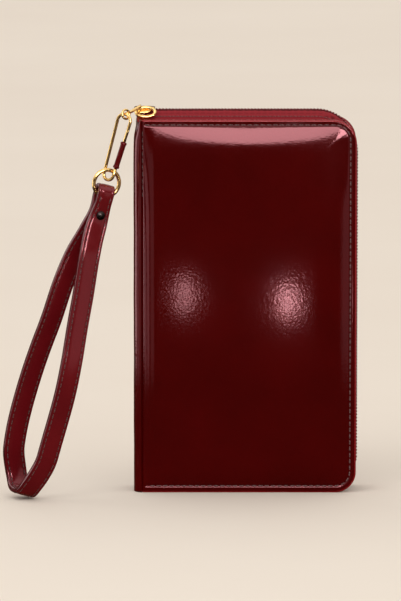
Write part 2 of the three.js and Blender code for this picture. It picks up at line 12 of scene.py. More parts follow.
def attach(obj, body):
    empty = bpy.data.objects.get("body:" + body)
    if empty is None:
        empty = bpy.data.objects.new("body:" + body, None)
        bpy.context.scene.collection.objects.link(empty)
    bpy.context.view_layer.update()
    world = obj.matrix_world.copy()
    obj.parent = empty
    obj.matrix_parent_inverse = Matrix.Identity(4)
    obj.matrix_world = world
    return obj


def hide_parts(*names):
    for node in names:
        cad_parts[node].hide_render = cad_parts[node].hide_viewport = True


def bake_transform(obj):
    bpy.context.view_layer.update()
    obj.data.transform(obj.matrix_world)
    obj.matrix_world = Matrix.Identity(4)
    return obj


MM = 0.001
FRONT = -1
BACK = 1
HALVES = (("front", FRONT), ("back", BACK))

# Covers and spine
HINGE_X = 4.1
PANEL_LEFT = 3.6
PANEL_RIGHT = 111.2
PANEL_MIDDLE = 56.0
PANEL_HALF = 52.0
COVER_RIGHT = 108.7
COVER_TOP = 188.7
MIDDLE_Z = COVER_TOP / 2
HALF_DEPTH = 12.5
LEATHER = 1.2
TOP_RADIUS = 12.0
BOTTOM_RADIUS = 10.5
EDGE_ROUND = 0.9
CREASE_DEPTH = 0.7
SPINE_RADIUS = 4.7
SPINE_CENTRE_DEPTH = 7.8
TOP_PINCH = 2.3
PINCH_START = 174.0
PINCH_END = 190.0
PINCH_WIDTH = 2.6

# The turned edge behind the cover's face, as (how far inside the outline, depth)
RIM_BACK = 9.3
RIM_STEPS = ((0, 10.9), (0.02, 10.1), (0.12, 9.6), (0.45, RIM_BACK), (LEATHER, RIM_BACK))
RIM_BAND = 0.8

# Padding of the covers: its height, and how wide the slope from the seam to the full height is
PILLOW = {FRONT: 2.5, BACK: 1.3}
CROWN = 0.5
STUFFED = 2.2
SHOULDER = 17.0
SHOULDER_START = 0.4
LEFT_SHOULDER = 6.5
BULGE_X = 52.8
BULGE_HALF = 46.0
LEFT_SLACK = 0.55
RIGHT_SLACK = 0.37

# Seam: a groove with stitches round the cover
SEAM_RIGHT = PANEL_RIGHT - 3.1
SEAM_TOP = COVER_TOP - 2.5
SEAM_BOTTOM = 3.4
SEAM_TOP_RADIUS = 7.5
SEAM_BOTTOM_RADIUS = 7.0
SEAM_DEPTH = 0.4
SEAM_WIDTH = 0.55
STITCH_PITCH = 3.2
SEAM_LEFT = PANEL_LEFT + 1.2
SPINE_ROW_X = 4.0
SPINE_ROW_TOP = 183.5
SPINE_ROW_LENGTH = 34.0

# Distances from the cover's outline, and from its edge at the spine, at which the mesh has a line
END_SPAN = 14.0
ROUND_STEPS = (0, 0.05, 0.15, 0.3, 0.5, 0.75, 1.0, 1.4, 1.8, 2.1, 2.35, 2.6, 2.9, 3.15, 3.4, 3.65, 3.9,
               4.3, 4.8, 5.5, 6.3, 7.2, 8.3, 9.5, 11, 12.5, END_SPAN)
LEFT_STEPS = (0, 0.2, 0.4, 0.7, 1.1, 1.6, 2.2, 2.9, 3.7, 4.6, 5.5, 6.5, 7.7, 9, 11)

# Zip: its line follows COVER_RIGHT and COVER_TOP with rounder corners than the covers have, and its crown
# stands out from that line
CORNER_RADIUS = 17.5
ZIP_CORNER_X = COVER_RIGHT - CORNER_RADIUS
ZIP_CORNER_Z = COVER_TOP - CORNER_RADIUS
CROWN_TOP = 4.4
CROWN_RIGHT = 3.3
CROWN_BOTTOM = -0.4
ZIP_LEFT = 8.4
TAPE_LEFT = 4.95
TAPE_THICKNESS = 0.55
TAPE_FOOT = -1.3
TAPE_DROP = 0.5
# Across the tape, from its edge under the rim to the teeth: depth, and share of its height
TAPE_LINE = ((9.7, -0.02), (9.3, 0.02), (8.6, 0.17), (7.6, 0.38), (6.6, 0.57), (5.4, 0.77), (4.3, 0.91),
             (3.3, 0.985), (2.64, 0.97))
TAPE_ROW_LEFT = 8.0
TAPE_ROW_DEPTH = 7.15
TAPE_ROW_SHARE = 0.475
TOOTH_PITCH = 1.65
TOOTH_HEIGHT = 1.7
TOOTH_MIDDLE = -0.85
# A tooth seen along its depth, as (along the zip, height), and its size at each depth
TOOTH_OUTLINE = ((-0.55, -TOOTH_HEIGHT), (0.55, -TOOTH_HEIGHT), (0.55, -0.5), (0.42, -0.15), (0.2, 0.0),
                 (-0.2, 0.0), (-0.42, -0.15), (-0.55, -0.5))
TOOTH_DEPTHS = ((0.42, 0.72), (0.6, 0.92), (1.5, 1.0), (2.3, 1.0), (2.6, 0.8))

# Fittings: the places are those of the CAD parts, which are drawn CAD_SHIFT to the left of the row frame
CAD_SHIFT = 55.4
SLIDER_LEFT = -0.2
SLIDER_RIGHT = 10.2
SLIDER_GAP = 0.25
WING_MIDDLE = -1.4
WING_FLAT = -3.4
WING_THICKNESS = 0.75
WING_DOME = 0.35
WING_HALF = 5.9
WING_POWER = 2.8
WING_DROOP = 0.17
DROOP_REACH = 3.4
WING_SPOTS = (4.0, 2.0, 0.0, -2.0, -3.6, -4.8, -5.6, -6.4, -7.2)
LOOP_CENTRE = (5.5, -7.4, 192.1)
LOOP_WIDTH = 4.7
LOOP_RISE = 2.6
LOOP_WIRE = 0.85
BRIDGE_EYE = (-52.7, -6.6, 194.4)
PULL_BAR = ((-52.7, -7.8, 194.9), (-53.9, -10, 194.5), (-56.8, -14.2, 193.3), (-58.6, -17, 192.7),
            (-59.1, -18.1, 192.5))
EYE_LEAN = Vector((0, -0.38, 0.36))
CLIP_WIRE = 0.8
CLIP_TOP_RADIUS = 3.7
CLIP_FOOT_RADIUS = 2.75
CLIP_TURN = math.radians(-30)
WIRE_GAP = (24.0, 26.6)
SLEEVE_SPAN = (13.6, 27.2)
SLEEVE_RADIUS = 1.6
SLEEVE_BORE = CLIP_WIRE + 0.15
END_TABS = (("top_end_tab", COVER_TOP - 0.5, 1.5), ("bottom_end_tab", 0.9, -0.4))
TAB_LEFT = 0.9
TAB_RIGHT = 4.6
TAB_HALF = 10.9
TAB_THICKNESS = 0.7

# Ring and strap
RING_HEIGHT = 164.4
RING_RADIUS = 6.4
RING_OUT = 0.35
RING_WIRE = 1.0
RING_TURN = math.radians(22)
STRAP_TURN = math.radians(50)
FOOT_TURN = math.radians(25)
FOOT_START = 140.0
TURN_SPAN = (8.0, 60.0)
STRAP_WIDTH = 11.0
STRAP_NECK = 8.6
NECK_SPAN = (9.0, 24.0)
STRAP_THICKNESS = 2.5
STRAP_SEAM = 1.6
RING_CLEARANCE = 7.0
# Half the strap's loop from its top, as (distance from the middle line, distance below the ring's centre)
LOOP_TOP = 2.2
LOOP_SIDE = ((1.3, 2.6), (2.35, 4), (2.5, 6.4), (2.3, 9), (1.75, 12), (1.45, 15), (1.42, 17.5), (1.7, 20.5),
             (2.9, 27), (5, 37), (7, 54), (8.8, 74), (10.8, 90), (12, 105), (12.2, 122), (11.6, 137),
             (10.5, 147), (8.4, 155), (4.8, 160.2))
RIVET_AT = 16.6
RIVET_FACE = 2.9
RIVET_RADIUS = 2.3
RIVET_DOME = 1.25

# Inside: card slots and gussets as in the CAD
SLOT_COUNT = 4
SLOT_RIGHT = CAD_SHIFT + 36
SLOT_STEP = 11.0
SLOT_FACE = 8.08
SLOT_LAYER = 0.6
SLOT_MARGIN = 9.0
SLOT_SEAM = 1.6
GUSSET_LEFT = CAD_SHIFT - 50
GUSSET_RIGHT = CAD_SHIFT + 28
GUSSET_HALF = 0.18
GUSSET_OUTER = 5.7
GUSSET_INNER = 3.55
GUSSET_TOP = 182.0
POCKET_TOP = 176.0
FOLD_SPINE = 174.0
FOLD_MOUTH = 164.0

FLOOR_HALF = 9000.0

# Camera, in metres
LOOK_AT = Vector((0.03296, -0.0125, 0.0977))
ELEVATION = math.radians(8)
DISTANCE = 3.0
LENS = 358.3

# Cards that only reflections show: name, place and target in metres, width, height, radiance
WALLET_MIDDLE = Vector((0.055, 0, 0.1))
CARDS = (
    ("top_box", (0.055, -0.48, 0.345), (0.055, -0.012, 0.185), 0.26, 0.165, 7.5),
    ("corner_card", (0.206, -0.375, 0.232), (0.106, -0.015, 0.182), 0.09, 0.08, 16.0),
    ("left_card", (-0.34, -0.21, 0.085), WALLET_MIDDLE, 0.22, 0.17, 0.9),
    ("left_front_card", (-0.16, -0.37, 0.085), WALLET_MIDDLE, 0.16, 0.17, 0.35),
    ("right_card", (0.40, -0.30, 0.085), WALLET_MIDDLE, 0.25, 0.17, 0.4),
    ("far_left_card", (-0.45, 0.05, 0.13), (-0.01, 0, 0.12), 0.22, 0.26, 2.6),
    ("far_right_card", (0.56, 0.06, 0.10), (0.11, 0, 0.1), 0.22, 0.26, 1.6),
    ("back_card", (-0.5, 0.35, 0.35), (-0.01, 0, 0.18), 0.3, 0.3, 1.2),
)
# Small lamps whose glints lie on the front cover: name, X and Z of the glint in millimetres, radiance
SPOTS = (("left_spot", 25.2, 101.0, 8.0), ("right_spot", 76.8, 98.0, 17.0))
SPOT_DISTANCE = 0.22
SPOT_SIZE = (0.010, 0.018)

# Leather: reflections tinted by the lacquer, and the strength of its broad waves
LACQUER_TINT = (1.0, 0.36, 0.40)
LEATHER_WAVES = 0.07

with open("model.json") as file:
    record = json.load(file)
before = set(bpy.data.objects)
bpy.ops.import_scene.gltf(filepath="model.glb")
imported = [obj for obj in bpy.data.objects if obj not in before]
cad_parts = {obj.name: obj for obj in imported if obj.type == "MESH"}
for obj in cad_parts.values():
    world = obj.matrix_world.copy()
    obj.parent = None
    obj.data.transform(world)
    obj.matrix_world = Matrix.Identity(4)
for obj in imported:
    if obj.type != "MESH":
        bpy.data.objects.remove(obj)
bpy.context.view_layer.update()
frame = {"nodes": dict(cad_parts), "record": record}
scene = bpy.context.scene


# ---------------------------------------------------------------- small maths

def clamp(value, low=0.0, high=1.0):
    return max(low, min(high, value))


def ease(value, low, high):
    t = clamp((value - low) / (high - low))
    return t * t * (3 - 2 * t)


def mix(a, b, t):
    return a + (b - a) * t


def cad(x, y, z):
    return Vector((x + CAD_SHIFT, y, z))


class Curve:
    """A centripetal Catmull-Rom curve through points, read by distance along it."""

    def __init__(self, points, closed=False, steps=40):
        self.points = []
        count = len(points)
        for i in range(count if closed else count - 1):
            if closed:
                near = [points[(i + k) % count] for k in (-1, 0, 1, 2)]
            else:
                first = points[i - 1] if i else points[0] * 2 - points[1]
                last = points[i + 2] if i + 2 < count else points[-1] * 2 - points[-2]
                near = [first, points[i], points[i + 1], last]
            self.points += [self.between(near, k / steps) for k in range(steps)]
        self.points.append(points[0].copy() if closed else points[-1].copy())
        self.at = [0.0]
        for a, b in zip(self.points, self.points[1:]):
            self.at.append(self.at[-1] + (b - a).length)
        self.length = self.at[-1]

    @staticmethod
    def between(near, t):
        a, b, c, d = near
        gaps = [max((q - p).length ** 0.5, 1e-4) for p, q in ((a, b), (b, c), (c, d))]
        start = ((b - a) / gaps[0] - (c - a) / (gaps[0] + gaps[1]) + (c - b) / gaps[1]) * gaps[1]
        end = ((c - b) / gaps[1] - (d - b) / (gaps[1] + gaps[2]) + (d - c) / gaps[2]) * gaps[1]
        cubic = b * 2 - c * 2 + start + end
        square = c * 3 - b * 3 - start * 2 - end
        return b + start * t + square * t * t + cubic * t * t * t

    def index(self, distance):
        low, high = 0, len(self.at) - 2
        while low < high:
            middle = (low + high + 1) // 2
            if self.at[middle] <= distance:
                low = middle
            else:
                high = middle - 1
        return low

    def point(self, distance):
        i = self.index(distance)
        span = max(self.at[i + 1] - self.at[i], 1e-9)
        return self.points[i].lerp(self.points[i + 1], (distance - self.at[i]) / span)

    def tangent(self, distance):
        reach = min(0.4, self.length / 4)
        low = self.point(clamp(distance - reach, 0, self.length))
        high = self.point(clamp(distance + reach, 0, self.length))
        return (high - low).normalized()


# ---------------------------------------------------------------- mesh helpers

def piece(name, points, faces, materials, marks=None, flat_angle=None):
    """A mesh object from points in millimetres. marks gives each face's material number."""
    mesh = bpy.data.meshes.new(name)
    mesh.from_pydata([tuple(c * MM for c in p) for p in points], [], faces)
    mesh.validate()
    for material in materials:
        mesh.materials.append(material)
    for number, polygon in enumerate(mesh.polygons):
        polygon.use_smooth = True
        if marks:
            polygon.material_index = marks[number]
    if flat_angle:
        mesh.set_sharp_from_angle(angle=math.radians(flat_angle))
    mesh.update()
    obj = bpy.data.objects.new(name, mesh)
    scene.collection.objects.link(obj)
    return obj


def face_out(obj):
    """Turns the faces outwards."""
    made = bmesh.new()
    made.from_mesh(obj.data)
    bmesh.ops.recalc_face_normals(made, faces=made.faces)
    made.to_mesh(obj.data)
    made.free()
    return obj


def grid_faces(rows, columns, wrap_rows=False, wrap_columns=False, start=0):
    faces = []
    for i in range(rows if wrap_rows else rows - 1):
        for k in range(columns if wrap_columns else columns - 1):
            right = (k + 1) % columns
            below = (i + 1) % rows
            faces.append((start + i * columns + k, start + i * columns + right,
                          start + below * columns + right, start + below * columns + k))
    return faces


def rim_of(rows, columns):
    """The numbers of a grid's outer points, once round."""
    rim = list(range(columns))
    rim += [i * columns + columns - 1 for i in range(1, rows)]
    rim += [(rows - 1) * columns + k for k in range(columns - 2, -1, -1)]
    rim += [i * columns for i in range(rows - 2, 0, -1)]
    return rim


def sheet_faces(rows, columns):
    """Faces of a closed sheet whose points are two grids of the same size, one behind the other."""
    size = rows * columns
    faces = grid_faces(rows, columns) + grid_faces(rows, columns, start=size)
    rim = rim_of(rows, columns)
    for a, b in zip(rim, rim[1:] + rim[:1]):
        faces.append((a, b, size + b, size + a))
    return faces


def capped_faces(rows, columns):
    """Faces of a closed body whose points are rings, one after another."""
    faces = grid_faces(rows, columns, False, True)
    faces.append(tuple(range(columns)))
    faces.append(tuple(range((rows - 1) * columns, rows * columns))[::-1])
    return faces


def tube(path, radius, across, closed=False, sides=24):
    """Points and faces of a round wire. radius may be a function of the place's number."""
    points = []
    count = len(path)
    for i, centre in enumerate(path):
        before = path[(i - 1) % count if closed else max(i - 1, 0)]
        after = path[(i + 1) % count if closed else min(i + 1, count - 1)]
        along = (after - before).normalized()
        across = (across - along * across.dot(along)).normalized()
        up = along.cross(across)
        size = radius(i) if callable(radius) else radius
        for k in range(sides):
            angle = 2 * math.pi * k / sides
            points.append(centre + across * (size * math.cos(angle)) + up * (size * math.sin(angle)))
    return points, grid_faces(count, sides, True, True) if closed else capped_faces(count, sides)


def merged(parts):
    """Joins several (points, faces) into one."""
    points, faces = [], []
    for more_points, more_faces in parts:
        base = len(points)
        points += more_points
        faces += [tuple(base + i for i in face) for face in more_faces]
    return points, faces


def capsule(a, b, up, radius, flatten=0.75):
    """One stitch from a to b, thickest in the middle, lying on a surface whose normal is up."""
    along = (b - a).normalized()
    side = along.cross(up).normalized()
    lift = side.cross(along)
    points = []
    sides = 8
    profile = ((0.0, 0.35), (0.1, 0.8), (0.3, 1.0), (0.7, 1.0), (0.9, 0.8), (1.0, 0.35))
    for share, width in profile:
        centre = a.lerp(b, share) + lift * (radius * 0.5 * math.sin(math.pi * share) - radius * 0.2)
        for k in range(sides):
            angle = 2 * math.pi * k / sides
            points.append(centre + side * (radius * width * math.cos(angle))
                          + lift * (radius * width * flatten * math.sin(angle)))
    return points, capped_faces(len(profile), sides)


def stitches(name, place, length, material, pitch=STITCH_PITCH, share=0.74, radius=0.3):
    """A row of stitches. place(distance) gives a point and the surface's normal there."""
    parts = []
    for i in range(int(length / pitch)):
        near = (i + 0.5 - share / 2) * pitch
        a, normal = place(near)
        b, _ = place(near + share * pitch)
        parts.append(capsule(a, b, normal, radius))
    points, faces = merged(parts)
    return face_out(piece(name, points, faces, [material]))


# ---------------------------------------------------------------- material helpers

def new_shader(name, **values):
    material = bpy.data.materials.new(name)
    material.use_nodes = True
    tree = material.node_tree
    surface = tree.nodes["Principled BSDF"]
    for key, value in values.items():
        surface.inputs[key.replace("_", " ")].default_value = value
    return material, tree, surface


def node(tree, kind, settings=None, **inputs):
    made = tree.nodes.new(kind)
    for key, value in (settings or {}).items():
        setattr(made, key, value)
    for key, value in inputs.items():
        socket = made.inputs[key.replace("_", " ")]
        if isinstance(value, bpy.types.NodeSocket):
            tree.links.new(value, socket)
        else:
            socket.default_value = value
    return made


def place_of(tree, scale=(1, 1, 1), rotation=(0, 0, 0)):
    coordinates = tree.nodes.new("ShaderNodeTexCoord").outputs["Object"]
    return node(tree, "ShaderNodeMapping", Vector=coordinates, Scale=scale, Rotation=rotation).outputs[0]


def noise(tree, where, scale, detail=3.0, roughness=0.55):
    return node(tree, "ShaderNodeTexNoise", Vector=where, Scale=scale, Detail=detail, Roughness=roughness)


def stretch(tree, value, low, high, to_low=0.0, to_high=1.0):
    made = node(tree, "ShaderNodeMapRange", Value=value, From_Min=low, From_Max=high, To_Min=to_low,
                To_Max=to_high)
    return made.outputs[0]


def colours(tree, factor, first, second):
    made = node(tree, "ShaderNodeMixRGB", Fac=factor, Color1=(*first, 1), Color2=(*second, 1))
    return made.outputs[0]


def bump(tree, height, strength, distance, normal=None):
    made = node(tree, "ShaderNodeBump", Height=height, Strength=strength, Distance=distance)
    if normal:
        tree.links.new(normal, made.inputs["Normal"])
    return made.outputs[0]


def calc(tree, operation, a, b=0.0):
    made = tree.nodes.new("ShaderNodeMath")
    made.operation = operation
    for socket, value in zip(made.inputs, (a, b)):
        if isinstance(value, bpy.types.NodeSocket):
            tree.links.new(value, socket)
        else:
            socket.default_value = value
    return made.outputs[0]


def leather(name, dark, light, grain=0.10, coat=0.1, coat_roughness=0.05, roughness=0.16, cell=1100.0,
            gloss=0.7):
    """Lacquered leather: soft clouds of colour, fine pebbled grain, reflections tinted by the red lacquer."""
    material, tree, surface = new_shader(name, Coat_Weight=coat, Coat_Roughness=coat_roughness, Coat_IOR=1.5,
                                         Specular_IOR_Level=gloss, Specular_Tint=(*LACQUER_TINT, 1))
    where = place_of(tree)
    clouds = noise(tree, where, 26.0, 4.0).outputs["Fac"]
    pores = noise(tree, where, cell, 2.0).outputs["Fac"]
    pebbles = node(tree, "ShaderNodeTexVoronoi", {"feature": "SMOOTH_F1"}, Vector=where, Scale=cell)
    blend = calc(tree, "ADD", stretch(tree, clouds, 0.35, 0.65, 0.0, 0.7),
                 stretch(tree, pores, 0.3, 0.7, 0.0, 0.3))
    tree.links.new(colours(tree, blend, dark, light), surface.inputs["Base Color"])
    dull = stretch(tree, pores, 0.2, 0.8, roughness - 0.03, roughness + 0.05)
    tree.links.new(dull, surface.inputs["Roughness"])
    fine = bump(tree, pebbles.outputs["Distance"], grain, 0.00010)
    waves = noise(tree, where, 60.0, 2.0).outputs["Fac"]
    broad = bump(tree, waves, LEATHER_WAVES, 0.0005, fine)
    tree.links.new(broad, surface.inputs["Normal"])
    tree.links.new(broad, surface.inputs["Coat Normal"])
    return material


def cloth(name, dark, light, pitch=0.00055, depth=0.00010, sheen=0.1):
    """Plain weave: two crossing sets of threads, with thread-to-thread colour changes."""
    material, tree, surface = new_shader(name, Roughness=0.82, Sheen_Weight=sheen, Sheen_Roughness=0.4,
                                         Sheen_Tint=(*light, 1), Specular_IOR_Level=0.15)
    where = place_of(tree)
    bands = []
    for direction in ("X", "Y", "Z"):
        wave = node(tree, "ShaderNodeTexWave", {"bands_direction": direction}, Vector=where,
                    Scale=math.pi / (10 * pitch) * 0.2, Distortion=0.35, Detail=1.0, Detail_Scale=4.0)
        bands.append(wave.outputs["Fac"])
    weave = calc(tree, "MAXIMUM", calc(tree, "MAXIMUM", bands[0], bands[1]), bands[2])
    fluff = noise(tree, where, 2600.0, 3.0).outputs["Fac"]
    tone = calc(tree, "ADD", calc(tree, "MULTIPLY", weave, 0.6), calc(tree, "MULTIPLY", fluff, 0.4))
    tree.links.new(colours(tree, stretch(tree, tone, 0.25, 0.85), dark, light), surface.inputs["Base Color"])
    tree.links.new(bump(tree, tone, 0.8, depth), surface.inputs["Normal"])
    return material


def metal(name, colour, worn, roughness=0.16, scratch=0.05):
    """Plated metal with hairline scratches and slightly dull patches."""
    material, tree, surface = new_shader(name, Metallic=1.0)
    where = place_of(tree)
    patches = noise(tree, where, 320.0, 3.0).outputs["Fac"]
    brushed = place_of(tree, scale=(1, 1, 14), rotation=(0.5, 0.3, 0))
    lines = noise(tree, brushed, 900.0, 3.0).outputs["Fac"]
    tone = colours(tree, stretch(tree, patches, 0.4, 0.75), colour, worn)
    tree.links.new(tone, surface.inputs["Base Color"])
    dull = calc(tree, "ADD", stretch(tree, patches, 0.3, 0.7, roughness - 0.04, roughness + 0.1),
                stretch(tree, lines, 0.45, 0.7, 0.0, 0.08))
    tree.links.new(dull, surface.inputs["Roughness"])
    tree.links.new(bump(tree, lines, scratch, 0.00002), surface.inputs["Normal"])
    return material


def thread(name, dark, light):
    """Twisted thread: a fine diagonal rope pattern."""
    material, tree, surface = new_shader(name, Roughness=0.62, Sheen_Weight=0.2, Sheen_Roughness=0.4)
    where = place_of(tree, rotation=(0.6, 0.7, 0.5))
    wave = node(tree, "ShaderNodeTexWave", Vector=where, Scale=320.0, Distortion=0.6, Detail=1.0)
    twist = wave.outputs["Fac"]
    tree.links.new(colours(tree, twist, dark, light), surface.inputs["Base Color"])
    tree.links.new(bump(tree, twist, 0.5, 0.00008), surface.inputs["Normal"])
    return material


def rough_solid(name, dark, light, scale, roughness, strength, distance):
    """Foam, board and other hidden stuff: grainy, matt."""
    material, tree, surface = new_shader(name, Roughness=roughness)
    grains = noise(tree, place_of(tree), scale, 5.0, 0.7).outputs["Fac"]
    tone = colours(tree, stretch(tree, grains, 0.35, 0.65), dark, light)
    tree.links.new(tone, surface.inputs["Base Color"])
    tree.links.new(bump(tree, grains, strength, distance), surface.inputs["Normal"])
    return material


PATENT = leather("patent_leather", (0.060, 0.0004, 0.0006), (0.084, 0.0007, 0.0010), grain=0.20,
                 roughness=0.10)
RIM = leather("turned_edge", (0.230, 0.007, 0.009), (0.310, 0.011, 0.014), grain=0.08, roughness=0.25)
STRAP = leather("strap_leather", (0.125, 0.004, 0.007), (0.175, 0.007, 0.011), gloss=1.0, grain=0.12,
                roughness=0.15, cell=1300.0)
PAINTED_EDGE = leather("painted_edge", (0.060, 0.003, 0.005), (0.085, 0.005, 0.007), grain=0.08,
                       roughness=0.2, cell=1800.0)
INNER = leather("inner_leather", (0.075, 0.008, 0.012), (0.110, 0.014, 0.018), grain=0.30, coat=0.05,
                coat_roughness=0.35, roughness=0.5, cell=700.0, gloss=0.4)
LINING = cloth("lining_cloth", (0.055, 0.008, 0.011), (0.120, 0.022, 0.028), pitch=0.0004)
TAPE = cloth("zip_tape", (0.140, 0.005, 0.009), (0.300, 0.018, 0.026), pitch=0.00062, depth=0.00016,
             sheen=0.05)
TEETH = leather("tooth_lacquer", (0.110, 0.006, 0.008), (0.170, 0.010, 0.013), grain=0.05, coat=0.0,
                roughness=0.35, gloss=0.15)
GOLD = metal("gold_plate", (0.97, 0.66, 0.27), (0.84, 0.52, 0.17), roughness=0.11)
RIVET = metal("dark_rivet", (0.030, 0.022, 0.022), (0.060, 0.045, 0.040), roughness=0.2)
THREAD = thread("sewing_thread", (0.075, 0.022, 0.022), (0.23, 0.10, 0.10))
DARK_THREAD = thread("strap_thread", (0.040, 0.010, 0.010), (0.17, 0.075, 0.075))
TAPE_THREAD = thread("tape_thread", (0.16, 0.012, 0.015), (0.34, 0.065, 0.068))
FOAM = rough_solid("padding_foam", (0.42, 0.37, 0.32), (0.62, 0.56, 0.50), 1400.0, 0.95, 0.8, 0.0003)
BOARD = rough_solid("grey_board", (0.20, 0.16, 0.12), (0.32, 0.26, 0.20), 800.0, 0.9, 0.4, 0.0002)
SLEEVE = leather("sleeve_lacquer", (0.080, 0.001, 0.001), (0.110, 0.0015, 0.0015), grain=0.04, coat=0.0,
                 roughness=0.2, cell=2400.0, gloss=0.45)


# ---------------------------------------------------------------- covers

def inside_distance(x, z, right, top, bottom, top_radius, bottom_radius):
    """How far a point lies inside an outline that is rounded at its two right corners."""
    upper = z > MIDDLE_Z
    radius = top_radius if upper else bottom_radius
    up = z - (top - radius) if upper else bottom + radius - z
    over = x - (right - radius)
    if up > 0 and over > 0:
        return radius - math.hypot(up, over)
    return min(right - x, top - z, z - bottom)


def edge_distance(x, z):
    return inside_distance(x, z, PANEL_RIGHT, COVER_TOP, 0, TOP_RADIUS, BOTTOM_RADIUS)


def seam_distance(x, z):
    return inside_distance(x, z, SEAM_RIGHT, SEAM_TOP, SEAM_BOTTOM, SEAM_TOP_RADIUS, SEAM_BOTTOM_RADIUS)


def right_end(z):
    radius = TOP_RADIUS if z > MIDDLE_Z else BOTTOM_RADIUS
    up = max(z - COVER_TOP + radius if z > MIDDLE_Z else radius - z, 0.0)
    return PANEL_RIGHT - radius + math.sqrt(max(radius ** 2 - up ** 2, 0.0))


def inflated(distance, width):
    """0 at the seam, 1 once the padding is full: steepest at the seam, as in a stuffed panel."""
    return 1 - (1 - clamp(distance / width)) ** STUFFED


def panel_lift(x, z, pillow):
    """How far the cover's face stands out beyond HALF_DEPTH."""
    edge = max(edge_distance(x, z), 0.0)
    left = x - PANEL_LEFT
    turn = 1 - min(edge / EDGE_ROUND, 1)
    lift = -EDGE_ROUND * (1 - math.sqrt(max(1 - turn * turn, 0)))
    seam = seam_distance(x, z)
    lift -= SEAM_DEPTH * math.exp(-(seam / SEAM_WIDTH) ** 2) * ease(left, 0.5, 2.5)
    across = (x - PANEL_MIDDLE) / PANEL_HALF
    upward = (z - MIDDLE_Z) / MIDDLE_Z
    aside = min(abs(x - BULGE_X) / BULGE_HALF, 1.15)
    slack = LEFT_SLACK * aside ** 1.6 if x < BULGE_X else RIGHT_SLACK * aside ** 2
    full = 1 - slack * ease(abs(upward), 0.45, 0.95)
    full *= inflated(seam - SHOULDER_START, SHOULDER) * inflated(left - 0.6, LEFT_SHOULDER)
    lift += pillow * full
    lift -= CREASE_DEPTH * (1 - ease(left, 0, 1.0))
    return lift + CROWN * full * max(1 - across ** 2, 0) * max(1 - upward ** 2, 0)


def end_rows(radius):
    """Distances from one short end at which the panel has a row, closer together round the corner."""
    ends = set(ROUND_STEPS)
    for step in range(0, 91, 3):
        ends.add(radius * (1 - math.sin(math.radians(step))))
    kept = []
    for value in sorted(ends):
        if value <= END_SPAN and (not kept or value - kept[-1] > 0.04):
            kept.append(value)
    return kept


def panel_rows():
    middle = [mix(END_SPAN, COVER_TOP - END_SPAN, i / 48) for i in range(1, 48)]
    upper = [COVER_TOP - value for value in reversed(end_rows(TOP_RADIUS))]
    return end_rows(BOTTOM_RADIUS) + middle + upper


def panel_columns(z):
    right = right_end(z)
    left = [PANEL_LEFT + step for step in LEFT_STEPS]
    first, last = left[-1], right - ROUND_STEPS[-1]
    middle = [mix(first, last, i / 28) for i in range(1, 28)]
    return left + middle + [right - step for step in reversed(ROUND_STEPS)]


def outward(x, z):
    """Direction out of the panel's edge at a point of its outline."""
    upper = z > MIDDLE_Z
    radius = TOP_RADIUS if upper else BOTTOM_RADIUS
    centre_z = COVER_TOP - radius if upper else radius
    over, up = x - (PANEL_RIGHT - radius), z - centre_z
    if over > 1e-6 and (up > 0) == upper and abs(up) > 1e-6:
        return Vector((over, 0, up)).normalized()
    if x >= PANEL_RIGHT - 0.01:
        return Vector((1, 0, 0))
    if x <= PANEL_LEFT + 0.01:
        return Vector((-1, 0, 0))
    return Vector((0, 0, 1 if upper else -1))


def cover_panel(half, side):
    """The padded cover: face, turned edge and the rim that runs back to the zip tape, as one shell."""
    points = []
    rows = panel_rows()
    for z in rows:
        for x in panel_columns(z):
            points.append(Vector((x, side * (HALF_DEPTH + panel_lift(x, z, PILLOW[side])), z)))
    columns = len(points) // len(rows)
    faces = grid_faces(len(rows), columns)
    marks = []
    for face in faces:
        middle = sum((points[i] for i in face), Vector()) / 4
        marks.append(1 if edge_distance(middle.x, middle.z) < RIM_BAND else 0)
    loop = rim_of(len(rows), columns)
    previous = loop
    for inset, depth in RIM_STEPS:
        start = len(points)
        for i in loop:
            p = points[i]
            out = outward(p.x, p.z)
            points.append(Vector((p.x - out.x * inset, side * depth, p.z - out.z * inset)))
        ring = list(range(start, len(points)))
        for k in range(len(ring)):
            after = (k + 1) % len(ring)
            faces.append((previous[k], previous[after], ring[after], ring[k]))
            marks.append(1)
        previous = ring
    panel = face_out(piece(f"{half}_padded_panel", points, faces, [PATENT, RIM], marks))
    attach(panel, f"{half}_half")
    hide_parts(f"{half}_cover_leather")
    return panel


def seam_line(left):
    """The stitched line, from the spine at the top round to the spine at the bottom."""
    points = [Vector((left, 0, SEAM_TOP))]
    for radius, centre_z, start in ((SEAM_TOP_RADIUS, SEAM_TOP - SEAM_TOP_RADIUS, 90),
                                    (SEAM_BOTTOM_RADIUS, SEAM_BOTTOM + SEAM_BOTTOM_RADIUS, 0)):
        for i in range(25):
            angle = math.radians(start - 90 * i / 24)
            x = SEAM_RIGHT - radius + radius * math.cos(angle)
            points.append(Vector((x, 0, centre_z + radius * math.sin(angle))))
    points.append(Vector((left, 0, SEAM_BOTTOM)))
    return Curve(points, steps=1)


def cover_stitches(half, side):
    line = seam_line(SEAM_LEFT)

    def place(distance):
        p = line.point(min(distance, line.length))
        lift = panel_lift(p.x, p.z, PILLOW[side])
        return Vector((p.x, side * (HALF_DEPTH + lift + 0.12), p.z)), Vector((0, side, 0))

    row = stitches(f"{half}_cover_stitches", place, line.length, THREAD, radius=0.32)
    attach(row, f"{half}_half")


